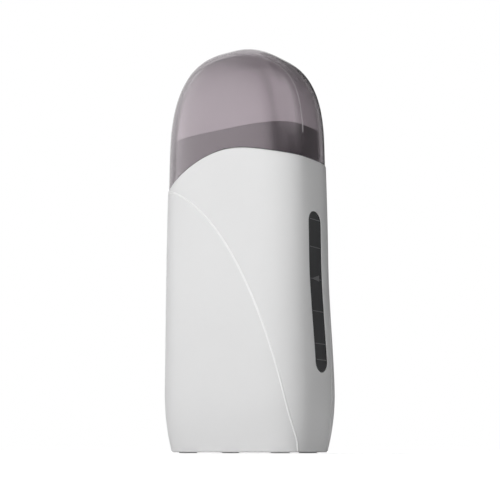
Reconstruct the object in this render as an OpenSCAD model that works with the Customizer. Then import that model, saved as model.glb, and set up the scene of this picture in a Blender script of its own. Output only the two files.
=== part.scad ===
// Roll-on wax heater: a standing clamshell body that warms a 100 ml roll-on wax cartridge,
// closed by a lift-off translucent cap. Millimetres, +Z up, the front faces -Y.
// Most shapes are drawn about the body's widest line, which seat_on_base() puts in place.

/* [Body] */
// Height over the feet and the cap
total_h = 205; // [198:1:220]
// Width at the widest line
body_w = 85; // [84:0.5:96]
// Depth in front of the widest line
front_deep = 24.3; // [24:0.1:30]
// Depth behind the widest line
back_deep = 25; // [24.6:0.1:30]
// Extra depth of the heel, low on the back
heel = 7; // [6:0.5:10]
// Height where the heel starts to swell
heel_top = 95; // [85:1:110]
// Height where the heel is full
heel_low = 25; // [15:1:35]
// Squareness of the plan outline
corner = 3.4; // [3:0.1:4]
// Wall of the two shells
wall = 2.2; // [1.8:0.1:2.6]
// How far the wall draws in at the base
foot_round = 3.6; // [2:0.1:4]
// Height over which the wall draws in
foot_h = 30; // [20:1:40]
// How far each side draws in up to the top
taper_w = 3.9; // [2:0.1:5]
// Height where the sides start to draw in
taper_low = 90; // [70:1:110]
// Plane behind the widest line where the two shells meet
part_y = 14; // [13.5:0.5:16]
// Gap between the two shells
part_gap = 0.3; // [0.2:0.1:0.5]

/* [Cap and seam] */
// Height where the dome of the cap starts
dome_low = 151.8; // [150:0.2:158]
// Squareness of the dome seen from the front
dome_round = 2.62; // [2.2:0.02:3]
// Squareness of the dome seen from the side
dome_square = 4.28; // [3:0.02:5]
// Wall of the cap
cap_wall = 2.0; // [1.6:0.1:2.4]
// How far the foot of the cap stands back from the shells
cap_step = 0.4; // [0.2:0.1:0.5]
// Gap between the cap and the shells
seam_gap = 0.4; // [0.3:0.1:0.6]
// Highest point of the seam
seam_peak = 149.2; // [146:0.1:152]
// Sideways place of that point
seam_peak_x = 6; // [0:0.5:12]
// Fall of the seam's wave left of that point
seam_fall_left = 14.3; // [12:0.1:15]
// Fall of the seam's wave right of that point
seam_fall_right = 3.3; // [2:0.1:5]
// Quarter wave of the seam left of that point
seam_run_left = 41; // [38:1:46]
// Quarter wave of the seam right of that point
seam_run_right = 22; // [20:1:28]

/* [Bead] */
// Sideways span of the raised line that falls across the front
bead_w = 78.8; // [70:0.2:80]
// Height of that line over the base
bead_h = 134; // [125:0.5:136]
// Sideways place where the line would be level
bead_left = -40; // [-42:0.5:-36]
// How full the line's curve is
bead_power = 1.73; // [1.5:0.01:2]
// Radius of the bead
bead_r = 0.6; // [0.5:0.05:0.8]
// How far the bead's middle lies below the surface
bead_sink = 0.25; // [0.1:0.05:0.35]

/* [Collar and cartridge] */
// Height of the collar's rim
rim_z = 160.5; // [158:0.5:164]
// Bottom of the collar's skirt
skirt_z = 127; // [125:0.5:129]
// Wall of the collar
collar_wall = 2.0; // [1.6:0.1:2.4]
// Gap between the collar and the shells
collar_gap = 0.4; // [0.3:0.1:0.6]
// How far the deck lies below the rim
deck_drop = 3; // [2:0.5:5]
// Thickness of the deck
deck_t = 2; // [1.5:0.1:2.5]
// Width of the cartridge well
well_w = 54; // [53:0.5:55]
// Depth of the cartridge well
well_d = 33; // [32.5:0.1:33.3]
// Corner radius of the cartridge well
well_r = 8; // [6:0.5:9]
// Well centre, in front of the widest line
well_y = -2.5; // [-2.7:0.1:-2.3]
// Wall of the well
well_wall = 1.6; // [1.2:0.1:1.8]
// Top of the well's floor
well_floor_z = 32; // [31:0.5:36]
// Thickness of the well's floor
well_floor_t = 2; // [1.5:0.1:2.5]

/* [Window] */
// Bottom of the window slot
window_low = 38.2; // [36:0.1:42]
// Top of the window slot
window_top = 116.9; // [112:0.1:118]
// Width of the window slot
window_w = 11; // [9:0.5:11.5]
// Slot centre at its top, behind the widest line
window_y = -0.4; // [-1:0.1:0.5]
// Share of the heel that the slot bends back by
window_follow = 0.8; // [0.6:0.05:0.9]
// Gap round the lens
lens_fit = 0.2; // [0.15:0.05:0.3]
// Thickness of the lens flange
lens_flange_t = 1.2; // [1:0.1:1.6]
// How far the lens lies below the surface
lens_sink = 0.5; // [0.3:0.1:0.8]
// Level marks: how many
mark_count = 4; // [3:1:5]
// Lowest level mark
mark_low = 52; // [50:1:56]
// Distance between level marks
mark_pitch = 15.6; // [12:0.2:16]

/* [Heater] */
// Width of the heating plate's pad
pad_w = 42; // [38:1:43]
// Height of the heating plate's pad
pad_h = 75; // [70:1:76]
// Bottom of the heating plate's pad
pad_low = 47; // [46:1:52]
// Rim of the plate round its pad
plate_rim = 3.4; // [3:0.1:3.6]
// Thickness of that rim
plate_t = 1.5; // [1.2:0.1:1.8]
// Width of a heating pill
pill_w = 24; // [20:0.5:26]
// Height of a heating pill
pill_h = 13; // [11:0.5:14]
// Thickness of a heating pill
pill_t = 1.8; // [1.6:0.1:2]
// Height of the middle of the pill pack
pack_z = 78; // [76:0.5:80]
// Thickness of an electrode
electrode_t = 0.3; // [0.2:0.05:0.4]
// Thickness of the insulation wrap
wrap_t = 0.2; // [0.15:0.05:0.3]
// Thickness of the clamp
clamp_t = 0.8; // [0.6:0.1:0.9]
// Gap between stacked pieces
seat = 0.1; // [0.08:0.01:0.15]

/* [Back panel] */
// Depth of the recessed panel below the heel
panel_sink = 4.5; // [4.2:0.1:5]
// Half width of the panel
panel_half = 24; // [23.5:0.5:25]
// Bottom of the panel
panel_low = 7; // [6.5:0.1:7.2]
// Height of the panel
panel_h = 18; // [17.8:0.1:19]
// Sideways place of the power inlet
inlet_x = -11.5; // [-12:0.1:-11]
// Distance between the inlet pins
pin_pitch = 8.7; // [8:0.1:9]
// Radius of an inlet pin
pin_r = 1.2; // [1.1:0.05:1.25]
// Width of the inlet's recess
recess_w = 16.4; // [16:0.1:17]
// Height of the inlet's recess
recess_h = 8.6; // [8:0.1:9]
// Depth of the inlet's recess
recess_deep = 12; // [10:0.5:13]
// Sideways place of the switch
switch_x = 14; // [13:0.1:15]
// Width of the rocker
rocker_w = 7.6; // [6:0.1:8]
// Half length of the rocker, as the radius of its ends
rocker_r = 6.9; // [6:0.05:7]
// Tilt of the rocker either side of level, in degrees
rocker_tilt = 10; // [8:0.5:11]
// Radius of the rocker's pivot pin
pivot_r = 1; // [0.8:0.05:1.1]
// Radial running clearance on that pin
pivot_fit = 0.06; // [0.04:0.01:0.08]
// Height of the pilot lens
pilot_z = 40; // [38:0.5:42]
// Radius of the pilot lens
pilot_r = 3; // [2.5:0.1:3.5]

/* [Fasteners and feet] */
// Height of the lower pair of case screws
screw_low = 20; // [17:0.5:21]
// Height of the upper pair of case screws
screw_high = 118; // [116:0.5:121]
// Radius of a case screw's thread
screw_r = 1.45; // [1.2:0.05:1.6]
// Radius of a case screw's head
head_r = 2.7; // [2.4:0.1:2.9]
// Height of the floor over what the feet stand on
foot_gap = 0.4; // [0.3:0.1:1.2]
// Radius of a foot
foot_r = 4.5; // [3.5:0.1:4.8]
// Sideways place of the front feet
front_foot_x = 28; // [24:0.5:30]
// Place of the front feet, in front of the widest line
front_foot_y = -10.5; // [-12:0.5:-8]
// Sideways place of the rear feet
rear_foot_x = 24; // [20:0.5:26]

/* [Hidden] */
$fn = 48;

// Depth of the whole body, and the place of its widest line in the row frame
mid_y = (front_deep - back_deep - heel) / 2;

// Clearance of a loose fit between pieces that are screwed or clipped in place
loose = 0.3;
// Radial clearance of a pressed or threaded fit
tight = 0.05;
// Overlap that joins the solids of one piece
join = 0.5;
// How deep a boss or floor bites into the wall it stands on
bite = 1;

// Columns of a full ring and rows of a shell
RING = 72;
SHELL_ROWS = 14;
CAP_ROWS = 14;

// ---------- the body's outer law ----------

function smooth(t) = let (s = min(1, max(0, t))) s * s * (3 - 2 * s);
function lerp(a, b, t) = a + (b - a) * t;

// Draw-in of the wall at the base, at the top, and the swell of the heel
function foot_in(z) = foot_round * pow(max(0, 1 - z / foot_h), 2);
function taper(z) = pow(max(0, (z - taper_low) / (total_h - taper_low)), 2);
function heel_out(z) = heel * smooth((heel_top - z) / (heel_top - heel_low));

// Shrink factor of the dome at height z; e is 2 for an ellipse
function dome(z, inset, e) =
    let (h = min(1, max(0, (z - dome_low) / (total_h - inset - dome_low))))
    pow(1 - pow(h, e), 1 / e);

function half_w(z, inset) =
    (body_w / 2 - foot_in(z) - taper_w * taper(z) - inset) * dome(z, inset, dome_round);
function deep(z, inset, back) =
    ((back ? back_deep + heel_out(z) : front_deep) - foot_in(z) - inset)
    * dome(z, inset, dome_square);

// Point of the outline at height z, in direction a (0 is +X, 90 is the back)
function outline(a, z, inset) =
    let (k = pow(pow(abs(cos(a)), corner) + pow(abs(sin(a)), corner), -1 / corner))
    [half_w(z, inset) * k * cos(a), deep(z, inset, sin(a) > 0) * k * sin(a), z];

// Point of the front at sideways place x
function front_point(x, z, inset) =
    [x, -deep(z, inset, false) * pow(1 - pow(abs(x) / half_w(z, inset), corner), 1 / corner), z];

// Direction in which the outline crosses the plane y, on the right side
function cross_angle(y, z, inset) =
    let (q = y / deep(z, inset, true)) atan2(q, pow(1 - pow(q, corner), 1 / corner));

// ---------- the seam between the body and the cap ----------

function seam_wave(x) =
    let (
        left = x < seam_peak_x,
        fall = left ? seam_fall_left : seam_fall_right,
        run = left ? seam_run_left : seam_run_right)
    seam_peak - fall * (1 - cos(90 * abs(x - seam_peak_x) / run));
function seam_back(x) =
    let (edge = half_w(seam_peak, 0))
    lerp(seam_wave(-edge), seam_wave(edge), smooth(x / edge / 2 + 0.5));
function seam(a) =
    let (p = outline(a, seam_peak, 0)) p.y < 0 ? seam_wave(p.x) : seam_back(p.x);

// ---------- solids between two grids of points ----------

// Two triangles for a four-sided patch, clockwise seen from outside
function patch(a, b, c, d) = [[a, b, c], [a, c, d]];

// Closed solid between an outer and an inner grid of equal size: rows go up, columns go
// anticlockwise. ring joins the last column to the first. Two poles close a dome.
module skin(outer, inner, ring = false, poles = []) {
    rows = len(outer);
    cols = len(outer[0]);
    count = rows * cols;
    last = ring ? cols : cols - 1;
    top = rows - 1;
    out = function (i, j) i * cols + j % cols;
    ins = function (i, j) count + out(i, j);
    sides = [for (i = [0:top - 1], j = [0:last - 1]) each concat(
        patch(out(i, j), out(i + 1, j), out(i + 1, j + 1), out(i, j + 1)),
        patch(ins(i, j), ins(i, j + 1), ins(i + 1, j + 1), ins(i + 1, j)))];
    foot = [for (j = [0:last - 1]) each patch(out(0, j), out(0, j + 1), ins(0, j + 1), ins(0, j))];
    head = len(poles) == 0
        ? [for (j = [0:last - 1])
            each patch(out(top, j + 1), out(top, j), ins(top, j), ins(top, j + 1))]
        : [for (j = [0:last - 1]) each [
            [out(top, j), 2 * count, out(top, j + 1)],
            [ins(top, j), ins(top, j + 1), 2 * count + 1]]];
    ends = ring ? [] : [for (i = [0:top - 1]) each concat(
        patch(out(i + 1, 0), out(i, 0), ins(i, 0), ins(i + 1, 0)),
        patch(out(i, last), out(i + 1, last), ins(i + 1, last), ins(i, last)))];
    polyhedron(
        points = concat([for (r = outer) each r], [for (r = inner) each r], poles),
        faces = concat(sides, foot, head, ends));
}

// Grid of a shell that spans from one crossing of the plane y to the other
function shell_grid(y, inset, back, cols) =
    [for (i = [0:SHELL_ROWS]) [for (j = [0:cols])
        let (
            t = j / cols,
            guess = seam(shell_angle(y, seam_peak, inset, back, t)),
            top = seam(shell_angle(y, guess, inset, back, t)),
            z = lerp(foot_gap, top, pow(i / SHELL_ROWS, 1.6)))
        outline(shell_angle(y, z, inset, back, t), z, inset)]];
function shell_angle(y, z, inset, back, t) =
    let (c = cross_angle(y, z, inset))
    back ? lerp(c, 180 - c, t) : lerp(180 - c, 360 + c, t);

// Grid of rings from z0 to z1, over the directions from a0 to a1
function band_grid(z0, z1, inset, rows, cols, a0 = 0, a1 = 360) =
    [for (i = [0:rows]) [for (j = [0:(a1 - a0 == 360 ? cols - 1 : cols)])
        outline(lerp(a0, a1, j / cols), lerp(z0, z1, i / rows), inset)]];

// Solid that fills the body from z0 to z1, out to inset below its surface
module core(z0, z1, inset) {
    rows = 3;
    grid = band_grid(z0, z1, inset, rows, RING);
    faces = [for (i = [0:rows - 1], j = [0:RING - 1]) each patch(
        i * RING + j, (i + 1) * RING + j, (i + 1) * RING + (j + 1) % RING, i * RING + (j + 1) % RING)];
    caps = [for (j = [0:RING - 1]) each [
        [j, (j + 1) % RING, (rows + 1) * RING],
        [rows * RING + (j + 1) % RING, rows * RING + j, (rows + 1) * RING + 1]]];
    polyhedron(
        points = concat([for (r = grid) each r], [[0, 0, z0], [0, 0, z1]]),
        faces = concat(faces, caps));
}

// ---------- small shapes ----------

module seat_on_base() { translate([0, mid_y, 0]) children(); }

// Cylinder along +Y from y0 to y1
module rod_y(x, y0, y1, z, r) {
    translate([x, y0, z]) rotate([-90, 0, 0]) cylinder(h = y1 - y0, r = r);
}

// Box from corner p to corner q
module block(p, q) { translate(p) cube(q - p); }

// Flat shape with round corners, centred
module round_rect(w, d, r) {
    square([w - 2 * r, d], center = true);
    square([w, d - 2 * r], center = true);
    for (x = [-1, 1], y = [-1, 1])
        translate([x * (w / 2 - r), y * (d / 2 - r)]) circle(r);
}

// Flat stadium, centred, along X
module stadium(w, h) {
    square([w - h, h], center = true);
    for (x = [-1, 1]) translate([x * (w - h) / 2, 0]) circle(h / 2);
}

// Upright wall of the cartridge well's plan, grown by g
module well_plan(g) {
    translate([0, well_y]) round_rect(well_w + 2 * g, well_d + 2 * g, well_r + g);
}

// Round tube swept along points
module wire(points, r) {
    sides = 8;
    n = len(points);
    ring = [for (i = [0:n - 1])
        let (
            d = points[min(n - 1, i + 1)] - points[max(0, i - 1)],
            t = d / norm(d),
            up = abs(t.z) < 0.8 ? [0, 0, 1] : [1, 0, 0],
            u = cross(t, up) / norm(cross(t, up)),
            v = cross(t, u))
        for (k = [0:sides - 1]) points[i] + r * (cos(360 * k / sides) * u + sin(360 * k / sides) * v)];
    at = function (i, k) i * sides + k % sides;
    walls = [for (i = [0:n - 2], k = [0:sides - 1])
        each patch(at(i, k), at(i + 1, k), at(i + 1, k + 1), at(i, k + 1))];
    ends = [for (k = [0:sides - 1]) each [
        [n * sides, at(0, k), at(0, k + 1)],
        [n * sides + 1, at(n - 1, k + 1), at(n - 1, k)]]];
    polyhedron(points = concat(ring, [points[0], points[n - 1]]), faces = concat(walls, ends));
}

// Points of a smooth curve through a few knots
function curve(knots, steps) = concat(
    [for (i = [0:len(knots) - 2], s = [0:steps - 1])
        let (
            a = knots[max(0, i - 1)], b = knots[i], c = knots[i + 1],
            d = knots[min(len(knots) - 1, i + 2)], t = s / steps)
        0.5 * (2 * b + (c - a) * t + (2 * a - 5 * b + 4 * c - d) * t * t
            + (3 * b - a - 3 * c + d) * t * t * t)],
    [knots[len(knots) - 1]]);

// ---------- shells ----------

floor_top = foot_gap + wall;
FRONT_COLS = 46;
REAR_COLS = 26;

// Case screws: a post on the front shell meets a sleeve on the rear shell
sleeve_wall = 1.5;
post_wall = 1.7;
sleeve_r = head_r + sleeve_wall;
post_r = screw_r + post_wall;
post_x = well_w / 2 + well_wall + 2 * loose + sleeve_r;
sleeve_floor = 3;
screw_grip = 9;
sleeve_y = part_y + part_gap;
head_seat_y = sleeve_y + sleeve_floor;
screw_places = [for (x = [-post_x, post_x], z = [screw_low, screw_high]) [x, z]];

// Feet, two on each shell's floor
foot_stem_r = 1.8;
foot_inset = 0.7;
rear_foot_y = sleeve_y + foot_r + foot_inset;
front_feet = [for (x = [-1, 1]) [x * front_foot_x, front_foot_y]];
rear_feet = [for (x = [-1, 1]) [x * rear_foot_x, rear_foot_y]];

module shell_floor(y0, y1) {
    translate([0, 0, foot_gap]) linear_extrude(wall) intersection() {
        polygon([for (j = [0:RING - 1])
            let (p = outline(360 * j / RING, foot_gap, bite)) [p.x, p.y]]);
        translate([-body_w, y0]) square([2 * body_w, y1 - y0]);
    }
}

module foot_holes(places) {
    for (p = places) translate([p.x, p.y, 0]) {
        cylinder(h = foot_gap + foot_inset, r = foot_r + loose / 2);
        cylinder(h = floor_top + join, r = foot_stem_r + seat);
    }
}

// Curved slot of the window, as a prism through the right side, grown all round
module window_prism(grow) {
    r = window_w / 2 + grow;
    low = window_low + window_w / 2;
    top = window_top - window_w / 2;
    steps = 8;
    mid = function (z) window_y + window_follow * heel_out(z);
    arc = function (z, turn) [for (i = [1:steps - 1])
        let (a = turn + 180 * i / steps) [mid(z) + r * cos(a), z + r * sin(a)]];
    side = function (z0, z1, r)
        [for (i = [0:steps]) let (z = lerp(z0, z1, i / steps)) [mid(z) + r, z]];
    points = concat(side(low, top, r), arc(top, 0), side(top, low, -r), arc(low, 180));
    translate([body_w / 4, 0, 0]) rotate([90, 0, 90]) linear_extrude(body_w / 2) polygon(points);
}

// Raised line from the seam's left end to the foot of the right front corner
module bead() {
    steps = 26;
    wire([for (i = [0:steps]) let (t = lerp(84, 3, i / steps)) front_point(
        bead_left + bead_w * pow(cos(t), 2 / bead_power),
        bead_h * pow(sin(t), 2 / bead_power), bead_sink)], bead_r);
}

module front_shell() {
    color("#e9e9ea") seat_on_base() difference() {
        union() {
            skin(shell_grid(part_y, 0, false, FRONT_COLS), shell_grid(part_y, wall, false, FRONT_COLS));
            shell_floor(-front_deep, part_y);
            bead();
            for (p = screw_places) intersection() {
                rod_y(p.x, -front_deep, part_y, p.y, post_r);
                core(p.y - 2 * post_r, p.y + 2 * post_r, bite);
            }
        }
        for (p = screw_places)
            rod_y(p.x, part_y - screw_grip - bite, part_y + join, p.y, screw_r + tight);
        window_prism(0);
        foot_holes(front_feet);
    }
}

// Recessed panel on the back
panel_y = back_deep + heel - panel_sink;
panel_top = panel_low + panel_h;
panel_mid = panel_low + panel_h / 2;
bezel_t = 1;
bezel_face = panel_y + seat + bezel_t;

// Inlet: socket body, its lip over the panel, and its closed back
inlet_wall = [1.8, 1.7];
inlet_lip = [2, 1.8];
inlet_back_t = 2.6;
pin_tail = 4;
inlet_body = [recess_w, recess_h] + 2 * inlet_wall;
inlet_bezel = inlet_body + 2 * inlet_lip;
inlet_floor_y = bezel_face - recess_deep;
inlet_back_y = inlet_floor_y - inlet_back_t;
pin_tail_y = inlet_back_y - pin_tail;

// Switch: the cavity holds the rocker, its pivot lies below the bezel's face
switch_wall = [1, 0.75];
switch_lip = [2.1, 1.55];
switch_back_t = 1.2;
pivot_deep = 2.4;
rocker_back = 2.6;
cavity_back = 4.6;
cavity = 2 * [rocker_w / 2 + loose, rocker_r + loose + tight];
switch_body = cavity + 2 * switch_wall;
switch_bezel = cavity + 2 * switch_lip;
pivot_y = bezel_face - pivot_deep;
cavity_back_y = pivot_y - cavity_back;
switch_back_y = cavity_back_y - switch_back_t;

// Switch terminals: half thickness, half width and tail of each blade
terminal_half = [0.4, 2.4];
terminal_tail = 6;
contact_proud = 0.4;
terminal_zs = [-4, 4];
terminal_tail_y = switch_back_y - terminal_tail;

// Pilot lens, whose flange sits in a cup behind the wall
pilot_surface = deep(pilot_z, 0, true);
pilot_inner = pilot_surface - wall;
pilot_flange_t = 1;
pilot_flange_r = pilot_r + 1.2;
pilot_cup_r = pilot_flange_r + 0.4;
pilot_cup_wall = 1.6;
pilot_cup_deep = pilot_flange_t + 1.2;
pilot_sink = 0.4;

module rear_shell() {
    color("#e4e4e5") seat_on_base() difference() {
        union() {
            skin(shell_grid(part_y + part_gap, 0, true, REAR_COLS),
                shell_grid(part_y + part_gap, wall, true, REAR_COLS));
            shell_floor(sleeve_y, back_deep + heel);
            for (p = screw_places) intersection() {
                rod_y(p.x, sleeve_y, back_deep + heel, p.y, sleeve_r);
                core(p.y - 2 * sleeve_r, p.y + 2 * sleeve_r, bite);
            }
            intersection() {
                block([-panel_half - wall, panel_y - wall, foot_gap],
                    [panel_half + wall, panel_y + panel_sink, panel_top + wall]);
                core(foot_gap, panel_top + 2 * wall, bite);
            }
            rod_y(0, pilot_inner - pilot_cup_deep, pilot_inner + join, pilot_z,
                pilot_cup_r + pilot_cup_wall);
        }
        block([-panel_half, panel_y, panel_low], [panel_half, back_deep + 2 * heel, panel_top]);
        for (p = screw_places) {
            rod_y(p.x, sleeve_y - join, head_seat_y + join, p.y, screw_r + loose);
            rod_y(p.x, head_seat_y, back_deep + 2 * heel, p.y, head_r + loose);
        }
        translate([inlet_x, 0, panel_mid])
            block([-inlet_body.x / 2 - seat, panel_y - 2 * wall, -inlet_body.y / 2 - seat],
                [inlet_body.x / 2 + seat, panel_y + join, inlet_body.y / 2 + seat]);
        translate([switch_x, 0, panel_mid])
            block([-switch_body.x / 2 - seat, panel_y - 2 * wall, -switch_body.y / 2 - seat],
                [switch_body.x / 2 + seat, panel_y + join, switch_body.y / 2 + seat]);
        rod_y(0, pilot_inner - 2 * wall, pilot_surface + join, pilot_z, pilot_r + seat);
        rod_y(0, pilot_inner - 2 * wall, pilot_inner, pilot_z, pilot_cup_r);
        foot_holes(rear_feet);
    }
}

// Smoked window with a flange behind the wall and raised level marks
module window_lens() {
    flange = 1.8;
    margin = flange + wall;
    back = wall + loose;
    mark = [0.6, window_w - 8 * lens_fit, 0.8];
    lens = function (inset)
        band_grid(window_low - margin, window_top + margin, inset, 12, 14, -32, 40);
    color("#3a3a3e") seat_on_base() {
        intersection() {
            window_prism(-lens_fit);
            skin(lens(lens_sink), lens(back + lens_flange_t));
        }
        intersection() {
            window_prism(flange);
            skin(lens(back), lens(back + lens_flange_t));
        }
        for (i = [0:mark_count - 1]) {
            z = mark_low + i * mark_pitch;
            y = window_y + window_follow * heel_out(z) - mark.y / 2;
            translate([half_w(z, lens_sink) - mark.x / 2, y, z - mark.z / 2]) cube(mark);
        }
    }
}

// ---------- collar and cap ----------

collar_inset = wall + collar_gap;
deck_top = rim_z - deck_drop;
deck_low = deck_top - deck_t;
mouth_grow = 0.8;

module collar() {
    color("#3d3b3f") seat_on_base() {
        skin(band_grid(skirt_z, rim_z, collar_inset, 5, RING),
            band_grid(skirt_z, rim_z, collar_inset + collar_wall, 5, RING), ring = true);
        translate([0, 0, deck_low]) linear_extrude(deck_t) difference() {
            polygon([for (j = [0:RING - 1])
                let (p = outline(360 * j / RING, deck_top, collar_inset + bite)) [p.x, p.y]]);
            well_plan(mouth_grow);
        }
    }
}

function cap_grid(inset, step) =
    [for (i = [0:CAP_ROWS - 1]) [for (j = [0:RING - 1])
        let (
            a = 360 * j / RING,
            rise = sin(90 * i / CAP_ROWS),
            z0 = seam(a) + seam_gap)
        outline(a, lerp(z0, total_h - inset, rise), inset + step * pow(1 - rise, 2))]];

module cap() {
    color("#ada3ab", 0.6) seat_on_base()
        skin(cap_grid(0, cap_step), cap_grid(cap_wall, 0), ring = true,
            poles = [[0, 0, total_h], [0, 0, total_h - cap_wall]]);
}

// ---------- cartridge holder and heater ----------

holder_top = skirt_z - loose;
holder_low = well_floor_z - well_floor_t;
well_back = well_y + well_d / 2;
holder_back = well_back + well_wall;
well_left = -well_w / 2;

// Heating plate: its pad fills an opening in the well's back wall
plate_front = holder_back + loose;
plate_back = plate_front + plate_t;
pad_mid = pad_low + pad_h / 2;
plate_half = pad_w / 2 + plate_rim;
rail_t = 1.4;
rail_hold = 1.5;
rail_back = plate_back + loose + rail_t;
rail_low = pad_low - plate_rim;
rail_top = pad_low + pad_h + plate_rim;

// Ledge under the plate, hole that drains the well, and sight opening behind the window
ledge_t = 1.4;
drain_r = 4;
sight_front = well_y - well_d / 2 + well_r + 3;

// Leaf spring on the well's left side
leaf_t = 0.4;
leaf_w = 9;
leaf_half = 20;
leaf_tab = 7;
leaf_z = 80;
leaf_reach = 0.4;
leaf_x = well_left - well_wall - loose;
leaf_bow = well_wall + loose + leaf_reach;
peg_r = 1.2;
peg_out = 0.8;
peg_places = [for (z = [-1, 1]) leaf_z + z * (leaf_half + leaf_tab / 2)];

// Rod along +X from x0 to x1
module rod_x(x0, x1, y, z, r) {
    translate([x0, y, z]) rotate([0, 90, 0]) cylinder(h = x1 - x0, r = r);
}

module cartridge_holder() {
    rail_x = plate_half + loose;
    color("#4a494c") seat_on_base() difference() {
        union() {
            translate([0, 0, holder_low]) linear_extrude(holder_top - holder_low) well_plan(well_wall);
            for (side = [0, 1]) mirror([side, 0, 0]) {
                block([rail_x, well_back - well_r / 2, rail_low],
                    [rail_x + rail_t, rail_back, rail_top]);
                block([plate_half - rail_hold, plate_back + loose, rail_low],
                    [rail_x + join, rail_back, rail_top]);
            }
            block([-plate_half, holder_back - join, rail_low - loose - ledge_t],
                [plate_half, plate_back, rail_low - loose]);
            for (z = peg_places)
                rod_x(leaf_x - leaf_t - peg_out, well_left - well_wall / 2, well_y, z, peg_r);
        }
        translate([0, 0, well_floor_z]) linear_extrude(total_h) well_plan(0);
        translate([0, well_y, 0]) cylinder(h = total_h, r = drain_r);
        block([-pad_w / 2 - loose, well_back - 2 * join, pad_low - loose],
            [pad_w / 2 + loose, holder_back + join, pad_low + pad_h + loose]);
        block([well_w / 2 - join, sight_front, window_low],
            [well_w / 2 + well_wall + join, well_back - well_r, window_top]);
        block([leaf_x - leaf_t, well_y - leaf_w / 2 - loose, leaf_z - leaf_half],
            [well_left + join, well_y + leaf_w / 2 + loose, leaf_z + leaf_half]);
    }
}

module cartridge_spring() {
    steps = 12;
    bow = function (t) leaf_bow * (1 - t * t) * (1 - t * t);
    inner = [for (i = [-steps:steps]) let (t = i / steps) [leaf_x + bow(t), t * leaf_half]];
    edge = concat([[leaf_x, -leaf_half - leaf_tab]], inner, [[leaf_x, leaf_half + leaf_tab]]);
    back = [for (i = [len(edge) - 1:-1:0]) edge[i] - [leaf_t, 0]];
    color("#b9bcc0") seat_on_base() difference() {
        translate([0, well_y + leaf_w / 2, leaf_z]) rotate([90, 0, 0])
            linear_extrude(leaf_w) polygon(concat(edge, back));
        for (z = peg_places) rod_x(leaf_x - 2 * leaf_t, leaf_x + leaf_t, well_y, z, peg_r + seat);
    }
}

// Pill pack, from the plate backwards
pack_half_w = pill_w / 2 + 2;
pack_half_h = pill_h + 3;
pill_apart = 1;
wrap_front = plate_back + seat;
front_electrode_y = wrap_front + wrap_t + seat;
pill_y = front_electrode_y + electrode_t + seat;
rear_electrode_y = pill_y + pill_t + seat;
wrap_back = rear_electrode_y + electrode_t + seat + wrap_t;
clamp_y = wrap_back + seat;
clamp_half = 5;
clamp_toe = 3;
clamp_arm = pack_half_h + 2 * clamp_t;
clamp_screw_r = 1.2;
clamp_head_r = 2.2;
clamp_head_t = 1.2;
clamp_screw_z = clamp_arm + clamp_t + 2 * loose + clamp_head_r;
clamp_reach = clamp_screw_z + clamp_toe;

module clamp_holes(y0, y1, r) {
    for (z = [-1, 1]) rod_y(0, y0, y1, pack_z + z * clamp_screw_z, r);
}

module heating_plate() {
    color("#c3c6ca") seat_on_base() difference() {
        union() {
            block([-pad_w / 2, well_back, pad_low], [pad_w / 2, plate_front + join, pad_low + pad_h]);
            block([-plate_half, plate_front, pad_low - plate_rim],
                [plate_half, plate_back, pad_low + pad_h + plate_rim]);
        }
        clamp_holes(well_back + 1, plate_back + join, clamp_screw_r + tight);
    }
}

module ptc_pills() {
    color("#8e8a86") seat_on_base() for (z = [-pill_h - pill_apart / 2, pill_apart / 2])
        translate([-pill_w / 2, pill_y, pack_z + z]) cube([pill_w, pill_t, pill_h]);
}

// Contact sheet with a tab at its foot
tab_w = 4;
tab_drop = 5;
tab_low = pack_z - pack_half_h - tab_drop;
tab_x = pill_w / 2 - tab_w / 2 - join;
module electrode(y, x) {
    half_w = pill_w / 2 + 0.5;
    half_h = pack_half_h - 1;
    block([-half_w, y, pack_z - half_h], [half_w, y + electrode_t, pack_z + half_h]);
    block([x - tab_w / 2, y, tab_low], [x + tab_w / 2, y + electrode_t, pack_z - half_h + join]);
}

module electrode_front() { color("#c9a35a") seat_on_base() electrode(front_electrode_y, -tab_x); }

module electrode_rear() { color("#c9a35a") seat_on_base() electrode(rear_electrode_y, tab_x); }

// Film sleeve, open at both ends
module insulation_wrap() {
    color("#c98a2b") seat_on_base() difference() {
        block([-pack_half_w - wrap_t, wrap_front, pack_z - pack_half_h],
            [pack_half_w + wrap_t, wrap_back, pack_z + pack_half_h]);
        block([-pack_half_w, wrap_front + wrap_t, pack_z - pack_half_h - join],
            [pack_half_w, wrap_back - wrap_t, pack_z + pack_half_h + join]);
    }
}

// Bridge over the pack, with a foot at each end
module ptc_clamp() {
    arm = clamp_arm + clamp_t;
    color("#a9adb2") seat_on_base() difference() {
        translate([0, 0, pack_z]) {
            block([-clamp_half, clamp_y, -arm], [clamp_half, clamp_y + clamp_t, arm]);
            for (side = [0, 1]) mirror([0, 0, side]) {
                block([-clamp_half, wrap_front, clamp_arm], [clamp_half, clamp_y + clamp_t, arm]);
                block([-clamp_half, wrap_front, clamp_arm],
                    [clamp_half, wrap_front + clamp_t, clamp_reach]);
            }
        }
        clamp_holes(wrap_front - join, wrap_front + clamp_t + join, clamp_screw_r + loose);
    }
}

module clamp_screws() {
    seat_y = wrap_front + clamp_t + seat / 2;
    color("#8f9398") seat_on_base() {
        clamp_holes(well_back + 1.4, seat_y + join, clamp_screw_r);
        clamp_holes(seat_y, seat_y + clamp_head_t, clamp_head_r);
    }
}

// One-shot fuse in its sleeve, across the plate below the pack
fuse_r = 1.9;
fuse_len = 10;
sleeve_bore = fuse_r + seat;
sleeve_out = sleeve_bore + 0.5;
fuse_z = pack_z - clamp_reach - loose - sleeve_out;
fuse_y = plate_back + seat + sleeve_out;
lead_r = 0.4;
fuse_lead = 6;

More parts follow.
